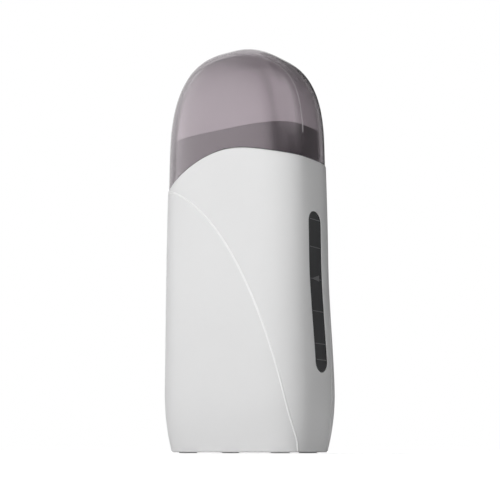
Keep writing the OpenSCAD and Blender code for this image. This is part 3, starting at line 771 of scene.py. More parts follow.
GRAINS = {
    Grain.POLISHED: GrainSpec((1, 1, 1), 130, 0.000012),
    Grain.SATIN: GrainSpec((1, 1, 1), 1500, 0.000010),
    Grain.SPARK: GrainSpec((1, 1, 1), 2600, 0.000030),
    Grain.BRUSHED: GrainSpec((0.03, 1, 1), 5000, 0.000012),
    Grain.ROLLED: GrainSpec((1, 0.05, 1), 3500, 0.000008),
    Grain.FIRED: GrainSpec((1, 1, 1), 4200, 0.000040),
    Grain.BRAID: GrainSpec((1, 1, 1), 1800, 0.000120),
}

# Scale per metre and detail of the noises that tint a piece and dull it, and detail of its relief
TINT_NOISE = (22.0, 3.0)
GLOSS_NOISE = (160.0, 4.0)
RELIEF_DETAIL = 2.0
# Range of the noise over which the tint runs from its dark to its light end
TINT_RANGE = (0.3, 0.7)
# Share by which the roughness goes up and down
UNEVEN = 0.12
COAT_ROUGHNESS = 0.08
# Range of Layer Weight's facing share over which a clear wall darkens
GRAZING = (0.4, 0.62)


@dataclass(frozen=True)
class Finish:
    """Finish of a piece, built as one node material on Object coordinates.

    Attributes:
        name: The finish's name.
        color: Its colour, linear.
        drift: How much the colour drifts over the piece.
        roughness: Its roughness.
        grain: Its fine relief.
        metallic: Whether it is a metal.
        alpha: How much it covers what is behind it.
        coat: Weight of a clear coat.
        gloss: Strength of its plain reflection, where 0.5 is that of plastic.
        sheen: Tint of that reflection.
        clear: Share of light that passes through it, tinted by its colour.
        depth: How much darker a clear wall is where it is seen along its length.
    """

    name: str
    color: Point
    drift: float = 0.04
    roughness: float = 0.35
    grain: Grain = Grain.SATIN
    metallic: bool = False
    alpha: float = 1.0
    coat: float = 0.0
    gloss: float = 0.5
    sheen: Point = (1.0, 1.0, 1.0)
    clear: float = 0.0
    depth: float = 0.0

    @property
    def label(self) -> str:
        """The material's name, which no plain CAD material has."""
        return f"{self.name}_finish"

    def build(self) -> bpy.types.Material:
        """Returns the material, and makes it the first time."""
        known = bpy.data.materials.get(self.label)
        return known if known else self.make()

    def make(self) -> bpy.types.Material:
        """Makes the material with its colour drift, uneven gloss and relief.

        Returns:
            The new material.
        """
        material = new_material(self.label)
        tree = material.node_tree
        place = add_node(tree, "ShaderNodeTexCoord").outputs["Object"]
        gloss = add_node(tree, "ShaderNodeMapRange", {
            "Value": self.noise(tree, place, *GLOSS_NOISE),
            "To Min": self.roughness * (1 - UNEVEN), "To Max": self.roughness * (1 + UNEVEN)})
        bump = add_node(tree, "ShaderNodeBump", {
            "Strength": 1.0, "Distance": GRAINS[self.grain].depth, "Height": self.relief(tree, place)})
        feed(tree.nodes["Principled BSDF"], {
            "Base Color": self.tint(tree, place), "Roughness": gloss.outputs["Result"],
            "Normal": bump.outputs["Normal"], "Metallic": 1.0 if self.metallic else 0.0,
            "Specular IOR Level": self.gloss, "Specular Tint": (*self.sheen, 1),
            "Coat Weight": self.coat, "Coat Roughness": COAT_ROUGHNESS, "Alpha": self.alpha,
            "Transmission Weight": self.clear})
        return material

    def tint(self, tree: bpy.types.NodeTree, place: bpy.types.NodeSocket) -> bpy.types.NodeSocket:
        """Adds the drifting colour, which a clear wall darkens where it is seen along its length.

        Args:
            tree: The material's tree.
            place: The Object coordinates.

        Returns:
            The colour.
        """
        ramp = add_node(tree, "ShaderNodeValToRGB", {"Fac": self.noise(tree, place, *TINT_NOISE)})
        for end, at, way in zip(ramp.color_ramp.elements, TINT_RANGE, (-1, 1)):
            end.position = at
            end.color = (*[min(1.0, c * (1 + way * self.drift)) for c in self.color], 1)
        if not self.depth:
            return ramp.outputs["Color"]
        facing = add_node(tree, "ShaderNodeLayerWeight", {"Blend": 0.5})
        share = add_node(tree, "ShaderNodeMapRange", {
            "Value": facing.outputs["Facing"], "From Min": GRAZING[0], "From Max": GRAZING[1],
            "To Max": self.depth})
        share.interpolation_type = "SMOOTHSTEP"
        mix = add_node(tree, "ShaderNodeMix")
        mix.data_type = "RGBA"
        feed(mix, {"Factor": share.outputs["Result"]})
        tree.links.new(
            ramp.outputs["Color"], next(i for i in mix.inputs if i.identifier == "A_Color"))
        next(i for i in mix.inputs if i.identifier == "B_Color").default_value = (0, 0, 0, 1)
        return next(o for o in mix.outputs if o.identifier == "Result_Color")

    def noise(
        self, tree: bpy.types.NodeTree, place: bpy.types.NodeSocket, scale: float, detail: float
    ) -> bpy.types.NodeSocket:
        """Adds a noise and returns its value."""
        return add_node(tree, "ShaderNodeTexNoise", {
            "Vector": place, "Scale": scale, "Detail": detail}).outputs["Fac"]

    def relief(self, tree: bpy.types.NodeTree, place: bpy.types.NodeSocket) -> bpy.types.NodeSocket:
        """Adds the fine relief.

        Args:
            tree: The material's tree.
            place: The Object coordinates.

        Returns:
            The relief's height.
        """
        spec = GRAINS[self.grain]
        stretch = add_node(tree, "ShaderNodeMapping", {"Vector": place, "Scale": spec.stretch})
        if self.grain is not Grain.BRAID:
            return self.noise(tree, stretch.outputs["Vector"], spec.scale, RELIEF_DETAIL)
        waves = []
        for direction in ("X", "Z"):
            wave = add_node(tree, "ShaderNodeTexWave", {
                "Vector": stretch.outputs["Vector"], "Scale": spec.scale / 4})
            wave.bands_direction = direction
            waves.append(wave.outputs["Fac"])
        return math_node(tree, "MAXIMUM", *waves)


class Palette(Enum):
    """Every finish of the heater."""

    SHELL = Finish("shell_white", (0.76, 0.76, 0.762), 0.012, 0.46, Grain.POLISHED, gloss=0.2)
    # The front bead is real raised relief; its white, lighter than the shell's, is a painted highlight
    # along it.
    BEAD_PAINTED_HIGHLIGHT = Finish("bead_white_painted_highlight", (0.86, 0.86, 0.86), 0.01, 0.36, Grain.POLISHED)
    CAP = Finish(
        "cap_tinted", (0.455, 0.418, 0.44), 0.02, 0.12, Grain.POLISHED, sheen=(1.0, 0.88, 0.95),
        clear=1.0, depth=0.45)
    # The crease is a real raised line; its opaque, lighter mauve over the clear cap is a painted
    # highlight along the cap's edge.
    CREASE = Finish("cap_crease_painted_highlight", (0.56, 0.51, 0.54), 0.02, 0.22, Grain.POLISHED, alpha=0.4)
    COLLAR = Finish("collar_charcoal", (0.07, 0.065, 0.07), 0.05, 0.2, Grain.POLISHED)
    LENS = Finish("lens_smoked", (0.085, 0.085, 0.088), 0.05, 0.12, Grain.POLISHED, alpha=0.88)
    MARK = Finish("mark_grey", (0.14, 0.14, 0.145), 0.05, 0.4, Grain.SATIN)
    HOLDER = Finish("holder_nylon", (0.05, 0.05, 0.055), 0.08, 0.5, Grain.SPARK)
    PLATE = Finish("plate_aluminium", (0.72, 0.73, 0.75), 0.03, 0.32, Grain.BRUSHED, metallic=True)
    SPRING = Finish("spring_steel", (0.56, 0.57, 0.60), 0.05, 0.26, Grain.ROLLED, metallic=True)
    SCREW = Finish("screw_zinc", (0.55, 0.56, 0.58), 0.08, 0.36, Grain.SATIN, metallic=True)
    BRASS = Finish("contact_brass", (0.72, 0.53, 0.25), 0.10, 0.30, Grain.ROLLED, metallic=True)
    CERAMIC = Finish("pill_ceramic", (0.27, 0.25, 0.23), 0.10, 0.6, Grain.FIRED)
    FILM = Finish("film_amber", (0.66, 0.36, 0.08), 0.06, 0.18, Grain.POLISHED, alpha=0.85)
    FUSE = Finish("fuse_cream", (0.66, 0.61, 0.50), 0.06, 0.5, Grain.FIRED)
    SLEEVE = Finish("sleeve_glass", (0.74, 0.72, 0.67), 0.05, 0.7, Grain.BRAID)
    SOCKET = Finish("socket_black", (0.022, 0.022, 0.025), 0.10, 0.42, Grain.SPARK)
    ROCKER = Finish("rocker_black", (0.014, 0.014, 0.016), 0.08, 0.16, Grain.POLISHED, coat=0.5)
    PIN = Finish("pin_nickel", (0.70, 0.69, 0.67), 0.04, 0.18, Grain.ROLLED, metallic=True)
    PILOT = Finish(
        "pilot_red", (0.60, 0.035, 0.02), 0.05, 0.14, Grain.POLISHED, alpha=0.85, coat=0.5)
    LAMP = Finish("lamp_glass", (0.85, 0.66, 0.55), 0.05, 0.06, Grain.POLISHED, alpha=0.45)
    RESISTOR = Finish("resistor_tan", (0.60, 0.46, 0.30), 0.08, 0.3, Grain.SATIN)
    WIRE_BROWN = Finish("wire_brown", (0.21, 0.09, 0.035), 0.06, 0.5, Grain.SATIN)
    WIRE_RED = Finish("wire_red", (0.50, 0.04, 0.025), 0.06, 0.5, Grain.SATIN)
    WIRE_BLUE = Finish("wire_blue", (0.03, 0.12, 0.38), 0.06, 0.5, Grain.SATIN)
    LEAD = Finish("lead_tinned", (0.60, 0.60, 0.60), 0.05, 0.34, Grain.ROLLED, metallic=True)
    FOOT = Finish("foot_rubber", (0.62, 0.62, 0.61), 0.05, 0.78, Grain.SPARK, gloss=0.3)

    @property
    def material(self) -> bpy.types.Material:
        """The finish's material."""
        return self.value.build()


CARRIED = {
    "cartridge_holder": Palette.HOLDER, "cartridge_spring": Palette.SPRING,
    "heating_plate": Palette.PLATE, "ptc_pills": Palette.CERAMIC,
    "electrode_front": Palette.BRASS, "electrode_rear": Palette.BRASS,
    "insulation_wrap": Palette.FILM, "ptc_clamp": Palette.SPRING, "clamp_screws": Palette.SCREW,
    "thermal_fuse": Palette.FUSE, "fuse_sleeve": Palette.SLEEVE, "inlet_socket": Palette.SOCKET,
    "inlet_pins": Palette.PIN, "switch_housing": Palette.SOCKET, "switch_pivot": Palette.SCREW,
    "switch_rocker": Palette.ROCKER, "rocker_contact": Palette.BRASS,
    "switch_terminals": Palette.BRASS, "pilot_lens": Palette.PILOT, "pilot_lamp": Palette.LAMP,
    "lamp_resistor": Palette.RESISTOR, "wire_live": Palette.WIRE_BROWN,
    "wire_switched": Palette.WIRE_BROWN, "wire_fused": Palette.WIRE_RED,
    "wire_neutral": Palette.WIRE_BLUE, "lamp_leads": Palette.LEAD,
    "case_screws": Palette.SCREW, "rubber_feet": Palette.FOOT,
}


def dress_carried_nodes() -> None:
    """Gives each CAD node that stays its own finish."""
    for node, finish in CARRIED.items():
        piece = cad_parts[node]
        piece.data.materials.clear()
        piece.data.materials.append(finish.material)
        LOG.info("%s takes %s", node, finish.value.name)


def hand_over(piece: bpy.types.Object, body: str, slot: str, *nodes: str) -> None:
    """Puts a finished piece on its body, and hides the nodes that it stands for.

    Args:
        piece: The finished piece.
        body: The CAD body that it moves with.
        slot: Not used.
        nodes: The CAD nodes that it replaces.
    """
    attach(piece, body)
    if nodes:
        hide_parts(*nodes)
    LOG.info("%s: %d faces, on %s", piece.name, len(piece.data.polygons), body)


# ---------- pieces that Geometry Nodes make ----------


def new_tree(name: str, sizes: dict[str, float]) -> bpy.types.NodeTree:
    """Starts a Geometry Nodes tree.

    Args:
        name: Its name.
        sizes: Name and value of each size that it takes.

    Returns:
        The tree, with its sockets and no nodes.
    """
    tree = bpy.data.node_groups.new(name, "GeometryNodeTree")
    tree.interface.new_socket("Geometry", in_out="INPUT", socket_type="NodeSocketGeometry")
    for size, value in sizes.items():
        socket = tree.interface.new_socket(size, in_out="INPUT", socket_type="NodeSocketFloat")
        socket.default_value = value
    tree.interface.new_socket("Geometry", in_out="OUTPUT", socket_type="NodeSocketGeometry")
    return tree


def end_tree(tree: bpy.types.NodeTree, made: bpy.types.NodeSocket, finish: Palette) -> None:
    """Ends a tree: its geometry is realized and gets its material.

    Args:
        tree: The tree.
        made: The geometry.
        finish: The finish that it gets.
    """
    real = add_node(tree, "GeometryNodeRealizeInstances", {"Geometry": made})
    paint = add_node(tree, "GeometryNodeSetMaterial", {
        "Geometry": real.outputs["Geometry"], "Material": finish.material})
    add_node(tree, "NodeGroupOutput", {"Geometry": paint.outputs["Geometry"]})


def run_tree(
    name: str, seed: bpy.types.Mesh, tree: bpy.types.NodeTree, sizes: dict[str, float]
) -> bpy.types.Object:
    """Runs a tree on a seed mesh and returns the result as a plain piece.

    Args:
        name: The piece's name.
        seed: The mesh that the tree starts from.
        tree: The tree.
        sizes: Value of each size, by its name.

    Returns:
        The finished piece, at the origin, with no modifier.
    """
    holder = linked(name, seed)
    modifier = holder.modifiers.new("made", "NODES")
    modifier.node_group = tree
    for item in tree.interface.items_tree:
        if item.item_type == "SOCKET" and item.in_out == "INPUT" and item.name in sizes:
            modifier[item.identifier] = sizes[item.name]
    mesh = made_plain(holder, modifier)
    holder.data = mesh
    mesh.polygons.foreach_set("use_smooth", [True] * len(mesh.polygons))
    return holder


def path_mesh(name: str, paths: Sequence[Sequence[Point]]) -> bpy.types.Mesh:
    """Makes a mesh of edges along rows of points.

    Args:
        name: Its name.
        paths: The rows, in millimetres about the widest line.

    Returns:
        The mesh, in the row frame.
    """
    points: list[Point] = []
    edges = []
    for path in paths:
        first = len(points)
        points += in_row_frame(path)
        edges += [(i, i + 1) for i in range(first, len(points) - 1)]
    mesh = bpy.data.meshes.new(name)
    mesh.from_pydata(points, edges, [])
    return mesh


def bead_tree(name: str, finish: Palette) -> bpy.types.NodeTree:
    """Makes a tree that runs a round bead along the seed's edges.

    Args:
        name: Its name.
        finish: The bead's finish.

    Returns:
        The tree, which takes the bead's radius and the step between its rings.
    """
    tree = new_tree(name, {"Radius": 0.6 * MM, "Step": 1.0 * MM})
    start = add_node(tree, "NodeGroupInput")
    curve = add_node(tree, "GeometryNodeMeshToCurve", {"Mesh": start.outputs["Geometry"]})
    even = add_node(tree, "GeometryNodeResampleCurve")
    even.mode = "LENGTH"
    feed(even, {"Curve": curve.outputs["Curve"], "Length": start.outputs["Step"]})
    section = add_node(tree, "GeometryNodeCurvePrimitiveCircle", {
        "Resolution": BEAD_SIDES, "Radius": start.outputs["Radius"]})
    sweep = add_node(tree, "GeometryNodeCurveToMesh", {
        "Curve": even.outputs["Curve"], "Profile Curve": section.outputs["Curve"],
        "Fill Caps": True})
    end_tree(tree, sweep.outputs["Mesh"], finish)
    return tree


def round_bead(
    name: str, paths: Sequence[Sequence[Point]], radius: float, step: float, finish: Palette
) -> bpy.types.Object:
    """Makes a round bead along rows of points.

    Args:
        name: The piece's name.
        paths: The rows.
        radius: Its radius, in millimetres.
        step: Distance between its rings, in millimetres.
        finish: Its finish.

    Returns:
        The finished piece.
    """
    tree = bead_tree(f"{name}_sweep", finish)
    return run_tree(name, path_mesh(name, paths), tree, {"Radius": radius * MM, "Step": step * MM})


# ---------- sub-assemblies ----------


@dataclass
class Body:
    """The two shells, with the window slot, the back's openings and the front's bead.

    Sizes are in millimetres.

    Attributes:
        round_out: Radius of the shells' outer rims.
        round_in: Radius of their inner rims.
        flat_top: Height up to which the grid's rows are level.
        upper: Rows of the grid between that height and the seam.
        front_rows: Heights of the front grid's rows near the foot.
        rear_rows: Heights of the rear grid's rows under the panel.
        slot_lines: Depths of the front grid's lines beside the window, first and last.
        slot_rows: Heights of its rows beside the window.
        screw_lines: Sideways places of the rear grid's lines beside a screw.
        panel_lines: Sideways places of the lines beside the panel's and the lamp's openings.
        lamp_line: Sideways place of the first line in the lamp's opening.
        panel_rows: Heights of the rows beside the panel.
        lamp_rows: Heights of the rows beside the lamp.
        screw_rows: Heights of the rows beside the lower and the upper screws.
        window_low: Height of the window slot's lower end.
        window_top: Height of its upper end.
        window_w: Its width.
        window_y: Depth of its middle where there is no heel.
        window_follow: Share of the heel's swell that it follows.
        window_ease: Share of the wall's rim rounding that it takes.
        panel_half: Half width of the back panel.
        panel_low: Height of its lower edge.
        panel_h: Its height.
        panel_sink: How far it lies below the heel.
        panel_corner: Radius of its corners.
        hole_corner: Radius of the corners of its holes.
        tray_ease: How much wider than the opening the tray's walls stand.
        tray_bite: How far the tray's walls reach into its floor.
        tray_root: Depth below the outer face at which they start.
        inlet_hole: Sideways place, width and height of the inlet's hole.
        switch_hole: The same of the switch's hole.
        post_x: Sideways place of the screws.
        screw_low: Height of the lower screws.
        screw_high: Height of the upper screws.
        screw_hole: Radius of their holes.
        screw_grip: How deep they reach into the posts.
        bore_r: Radius of the bores for their heads.
        bore_ease: How much wider a sleeve is than its bore.
        sleeve_r: Outer radius of the sleeves.
        sleeve_floor: Thickness under a screw's head.
        post_r: Radius of the posts.
        post_hole: Radius of their holes.
        post_edge: Bevel of their tips.
        root_in: Depth below the outer face at which posts and sleeves start.
        pilot_z: Height of the lamp.
        pilot_hole: Radius of its opening.
        pilot_cup: Inner radius of the cup behind it.
        cup_wall: Thickness of the cup.
        cup_deep: Depth of the cup.
        cup_bite: How far it reaches into the shell.
        floor_bite: How far a shell's floor reaches into its wall.
        floor_lift: How far it lies above the shell's lower rim.
        front_foot: Place of the front feet.
        rear_foot: Place of the rear feet.
        foot_hole: Radius of a foot's recess and of its hole.
        foot_sink: Depth of the recess.
        bead_power: How full the bead's curve is.
        bead_span: Width and height of the curve.
        bead_left: Sideways place where it would be level.
        bead_turns: Part of the curve that is used, in degrees.
        bead_clear: Room that it leaves at the seam and at the base.
        bead_r: Radius of the bead.
        bead_step: Distance between its rings.
        bead_sink: Depth of its middle below the surface.
        bead_edge: Share of the half width where it is drawn in, and that it never passes.
    """

    round_out: float = 0.7
    round_in: float = 0.3
    flat_top: float = 124.0
    upper: int = 12
    front_rows: tuple[float, ...] = (1.6, 2.6, 4, 6, 8.5, 11.5, 15, 19, 23.5, 28)
    rear_rows: tuple[float, ...] = (1.6, 2.9)
    slot_lines: Flat = (-9.5, 12.2)
    slot_rows: Flat = (33, 121)
    screw_lines: Flat = (38, 29)
    panel_lines: Flat = (27, 7)
    lamp_line: float = 5.2
    panel_rows: Flat = (4.4, 27.6)
    lamp_rows: Flat = (33, 47)
    screw_rows: tuple[Flat, Flat] = ((15.3, 24.7), (113.4, 122.6))
    window_low: float = 38.2
    window_top: float = 116.9
    window_w: float = 11.0
    window_y: float = -0.4
    window_follow: float = 0.8
    window_ease: float = 0.15
    panel_half: float = 24.0
    panel_low: float = 7.0
    panel_h: float = 18.0
    panel_sink: float = 4.5
    panel_corner: float = 1.6
    hole_corner: float = 0.6
    tray_ease: float = 0.03
    tray_bite: float = 0.5
    tray_root: float = 1.5
    inlet_hole: Point = (-11.5, 20.2, 12.2)
    switch_hole: Point = (14.0, 10.4, 16.2)
    post_x: float = 33.4
    screw_low: float = 20.0
    screw_high: float = 118.0
    screw_hole: float = 1.75
    screw_grip: float = 10.0
    bore_r: float = 3.0
    bore_ease: float = 0.03
    sleeve_r: float = 4.2
    sleeve_floor: float = 3.0
    post_r: float = 3.15
    post_hole: float = 1.5
    post_edge: float = 0.3
    root_in: float = 1.4
    pilot_z: float = 40.0
    pilot_hole: float = 3.1
    pilot_cup: float = 4.6
    cup_wall: float = 1.6
    cup_deep: float = 2.2
    cup_bite: float = 0.2
    floor_bite: float = 1.0
    floor_lift: float = 0.02
    front_foot: Flat = (28.0, -10.5)
    rear_foot: Flat = (24.0, 19.5)
    foot_hole: Flat = (4.65, 1.9)
    foot_sink: float = 0.68
    bead_power: float = 1.73
    bead_span: Flat = (78.8, 134.0)
    bead_left: float = -40.0
    bead_turns: Flat = (85.5, 0.4)
    bead_clear: Flat = (0.8, 0.45)
    bead_r: float = 0.6
    bead_step: float = 0.8
    bead_sink: float = 0.25
    bead_edge: Flat = (0.925, 0.968)

    def make(self) -> None:
        """Makes both shells and the bead, and hands them over."""
        front, rear = Draft(), Draft()
        for side in (-1, 1):
            for z in (self.screw_low, self.screw_high):
                front.join(self.post(side * self.post_x, z))
                rear.join(self.sleeve(side * self.post_x, z))
        for part in (self.front_skin(), self.floor(False)):
            front.join(part)
        for part in (self.rear_skin(), self.floor(True), self.tray(), self.pilot_boss()):
            rear.join(part)
        for draft, node in ((front, "front_shell"), (rear, "rear_shell")):
            piece = draft.build(f"{node}_skin", Palette.SHELL.material)
            hand_over(piece, "housing", "shell_white", node)
        self.bead()

    def window(self) -> Opening:
        """Returns the window's slot, in depth and height."""
        half = self.window_w / 2
        middle = (self.window_low + self.window_top) / 2
        return Opening(
            self.window_y, middle, 0.0, (self.window_top - self.window_low) / 2 - half, half,
            lambda z: self.window_follow * LAW.heel_out(z), self.window_ease)

    def shell(
        self, columns: Sequence[Column], levels: Sequence[float], blocks: Sequence[Block],
        flat: Callable[[int, int], Flat], chart: Chart
    ) -> Draft:
        """Makes a shell's wall on a grid, from the base to the seam.

        Args:
            columns: The grid's upright lines.
            levels: Its level rows; the first one follows the base.
            blocks: Blocks of cells that hold an opening.
            flat: Returns the flat place of a column and a row inside a block.
            chart: Places a flat point on the surface.

        Returns:
            The wall.
        """

        def height(i: int, top: float, edge: float) -> float:
            """Returns the height of row i, where the upper rim is at the given height."""
            if i >= len(levels):
                return lerp(levels[-1], top, (i - len(levels) + 1) / self.upper)
            return levels[i] if i else LAW.foot_gap + edge

        def at(j: int, i: int) -> Place:
            """Returns the place at a column and a row."""

            def place(edge: float, inset: float) -> Point:
                """Returns the point for an edge and an inset."""
                top = LAW.seam_on(lambda z: columns[j](z, edge, inset), inset) - edge
                return columns[j](height(i, top, edge), edge, inset)

            return place

        size = (len(columns) - 1, len(levels) - 1 + self.upper)
        places, quads = sheet_with_openings(at, size, blocks, flat, chart)
        return thick_skin(places, quads, rim_profile(LAW.wall, self.round_out, self.round_in))

    def front_skin(self) -> Draft:
        """Makes the front shell's wall with the window slot."""
        wrapped, slot_steps = 96, 40
        lines = spread(*self.slot_lines, 14)
        left: Bearing = lambda z, edge, inset: 180 - LAW.angle_at_y(LAW.part_y - edge, z, inset)
        right: Bearing = lambda z, edge, inset: 360 + LAW.angle_at_y(lines[0], z, inset)
        columns = [column_between(left, right, j / wrapped) for j in range(wrapped)]
        columns += [lambda z, edge, inset, y=y: LAW.side(y, z, inset) for y in lines]
        columns.append(lambda z, edge, inset: LAW.side(LAW.part_y - edge, z, inset))
        levels = [
            LAW.foot_gap, *self.front_rows, *spread(*self.slot_rows, slot_steps), self.flat_top]
        first = 1 + len(self.front_rows)
        block = Block(
            (wrapped, wrapped + len(lines) - 1), (first, first + slot_steps), self.window())
        return self.shell(
            columns, levels, [block], lambda j, i: (lines[j - wrapped], levels[i]), LAW.side)

    def rear_skin(self) -> Draft:
        """Makes the rear shell's wall with the panel, screw and lamp openings."""
        cheek = 14
        (out0, out1), (mid0, mid1), lamp = self.screw_lines, self.panel_lines, self.lamp_line
        lines = [*spread(out0, out1, 8), *spread(mid0, mid1, 12), *spread(lamp, -lamp, 6),
                 *spread(-mid1, -mid0, 12), *spread(-out1, -out0, 8)]
        rim: Bearing = lambda z, edge, inset: LAW.angle_at_y(
            LAW.part_y + LAW.part_gap + edge, z, inset)
        first: Bearing = lambda z, edge, inset: LAW.angle_at_x(lines[0], z, inset)
        left_rim: Bearing = lambda z, edge, inset: 180 - rim(z, edge, inset)
        last: Bearing = lambda z, edge, inset: 180 - first(z, edge, inset)
        columns = [column_between(rim, first, j / cheek) for j in range(cheek)]
        columns += [lambda z, edge, inset, x=x: LAW.back(x, z, inset) for x in lines]
        columns += [column_between(left_rim, last, 1 - (j + 1) / cheek) for j in range(cheek)]
        levels = self.rear_levels()

        def block(x0: float, x1: float, rows: Flat, opening: Opening) -> Block:
            """Returns the block between two lines and two level rows."""
            cols = (cheek + nearest(lines, x0), cheek + nearest(lines, x1))
            return Block(cols, (nearest(levels, rows[0]), nearest(levels, rows[1])), opening)

        corner = self.panel_corner
        panel = Opening(
            0, self.panel_low + self.panel_h / 2, self.panel_half - corner,
            self.panel_h / 2 - corner, corner)
        lamp_opening = Opening(0, self.pilot_z, 0, 0, self.pilot_hole)
        blocks = [block(mid0, -mid0, self.panel_rows, panel),
                  block(mid1, -mid1, self.lamp_rows, lamp_opening)]
        for x, x0, x1 in ((self.post_x, out0, out1), (-self.post_x, -out1, -out0)):
            for z, rows in zip((self.screw_low, self.screw_high), self.screw_rows):
                blocks.append(block(x0, x1, rows, Opening(x, z, 0, 0, self.bore_r)))
        return self.shell(
            columns, levels, blocks, lambda j, i: (lines[j - cheek], levels[i]), LAW.back)

    def rear_levels(self) -> list[float]:
        """Returns the heights of the rear grid's level rows."""
        (low0, low1), (high0, high1) = self.screw_rows
        (under, over), (lamp0, lamp1) = self.panel_rows, self.lamp_rows
        return [
            LAW.foot_gap, *self.rear_rows, under, *spread(under + 1.5, low0, 6)[1:],
            *spread(low0, low1, 8)[1:], over, *spread(over + 2.8, lamp0, 2),
            *spread(lamp0, lamp1, 10)[1:], *spread(lamp1, high0, 26)[1:],
            *spread(high0, high1, 8)[1:], self.flat_top]

    def floor(self, rear: bool) -> Draft:
        """Makes one shell's floor with its two foot holes.

        Args:
            rear: Whether it is the rear shell's floor.

        Returns:
            The floor, which bites into the shell's wall.
        """
        cut = LAW.part_y + LAW.part_gap if rear else LAW.part_y
        count = 240
        rim = [LAW.outline(360 * j / count, LAW.foot_gap, self.floor_bite) for j in range(count)]
        outline = [(x, y) for x, y, _ in rim if (y > cut) == rear]
        half = LAW.side(cut, LAW.foot_gap, self.floor_bite)[0]
        if rear:
            outline = [(half, cut), *outline, (-half, cut)]
        else:
            first = next(i for i, (x, _) in enumerate(outline) if x < 0)
            outline = [*outline[first:], *outline[:first], (half, cut), (-half, cut)]
        x, y = self.rear_foot if rear else self.front_foot
        recess, hole = self.foot_hole
        low = LAW.foot_gap + self.floor_lift
        step, high = low + self.foot_sink, LAW.foot_gap + LAW.wall
        draft = Draft()
        for bottom, top, radius in ((low, step, recess), (step, high, hole)):
            holes = [circle(side * x, y, radius) for side in (-1, 1)]
            draft.join(slab(outline, holes, bottom, top, on_base))
        return draft

    def post(self, x: float, z: float) -> Draft:
        """Makes a screw post of the front shell.

        Args:
            x: Sideways place of its axis.
            z: Height of its axis.

        Returns:
            The post.
        """
        root = LAW.front(abs(x) + self.post_r, z, self.root_in)[1]
        tip = LAW.part_y
        mid = tip - self.screw_grip
        edge = self.post_edge
        profile = [(self.post_r, root), (self.post_r, tip - edge), (self.post_r - edge, tip),
                   (self.post_hole, tip), (self.post_hole, mid), (NEAR_AXIS, mid),
                   (NEAR_AXIS, root)]
        return turned(profile, x, z, on_back)

    def sleeve(self, x: float, z: float) -> Draft:
        """Makes a screw sleeve of the rear shell, with its seat for the head.

        Args:
            x: Sideways place of its axis.
            z: Height of its axis.

        Returns:
            The sleeve, whose outer end follows the shell.
        """
        low = LAW.part_y + LAW.part_gap
        seat = low + self.sleeve_floor
        bore = self.bore_r + self.bore_ease
        draft = Draft()
        draft.loop([
            [LAW.back(u, v, self.root_in) if depth is None else (u, depth, v)
             for u, v in circle(x, z, radius, 40)]
            for radius, depth in (
                (self.screw_hole, low), (self.screw_hole, seat), (bore, seat), (bore, None),
                (self.sleeve_r, None), (self.sleeve_r, low))])
        return draft

    def tray(self) -> Draft:
        """Makes the recessed panel: its walls and its floor with two openings."""
        face = LAW.back_deep + LAW.heel - self.panel_sink
        middle = self.panel_low + self.panel_h / 2
        inner, outer = (
            rounded(0, middle, 2 * self.panel_half + 2 * grow, self.panel_h + 2 * grow, radius)
            for grow, radius in (
                (self.tray_ease, self.panel_corner), (LAW.wall, self.panel_corner + LAW.wall)))
        holes = [rounded(x, middle, width, height, self.hole_corner)
                 for x, width, height in (self.inlet_hole, self.switch_hole)]
        draft = slab(outer, holes, face - LAW.wall, face, on_back)
        foot = face - self.tray_bite
        draft.loop([
            [(u, foot, v) for u, v in inner], [LAW.back(u, v, self.tray_root) for u, v in inner],
            [LAW.back(u, v, self.tray_root) for u, v in outer], [(u, foot, v) for u, v in outer]])
        return draft

    def pilot_boss(self) -> Draft:
        """Makes the cup behind the lamp's opening."""
        inner = LAW.deep(self.pilot_z, 0, True) - LAW.wall
        low, high = inner - self.cup_deep, inner + self.cup_bite
        wide = self.pilot_cup + self.cup_wall
        profile = [(self.pilot_cup, low), (self.pilot_cup, inner), (self.pilot_cup, high),
                   (wide, high), (wide, low)]
        return turned(profile, 0, self.pilot_z, on_back)

    def bead(self) -> None:
        """Makes the raised line that falls across the front, in a lighter white that paints a
        highlight along it, and hands it over.
        """
        width, height = self.bead_span
        seam_room, base_room = self.bead_clear
        points = []
        for turn in spread(*self.bead_turns, 140):
            t = math.radians(turn)
            x = self.bead_left + width * math.cos(t) ** (2 / self.bead_power)
            z = height * math.sin(t) ** (2 / self.bead_power)
            point = LAW.front(self.kept_off_corner(x, LAW.half_w(z)), z, self.bead_sink)
            if z < LAW.seam_over(point, 0) - seam_room and z > LAW.foot_gap + base_room:
                points.append(point)
        piece = round_bead(
            "front_bead", [points], self.bead_r, self.bead_step, Palette.BEAD_PAINTED_HIGHLIGHT)
        hand_over(piece, "housing", "shell_white")

    def kept_off_corner(self, x: float, half: float) -> float:
        """Returns a place on the front, drawn in where it would come too near the corner."""
        free, most = (share * half for share in self.bead_edge)
        return x if x < free else free + (most - free) * math.tanh((x - free) / (most - free))


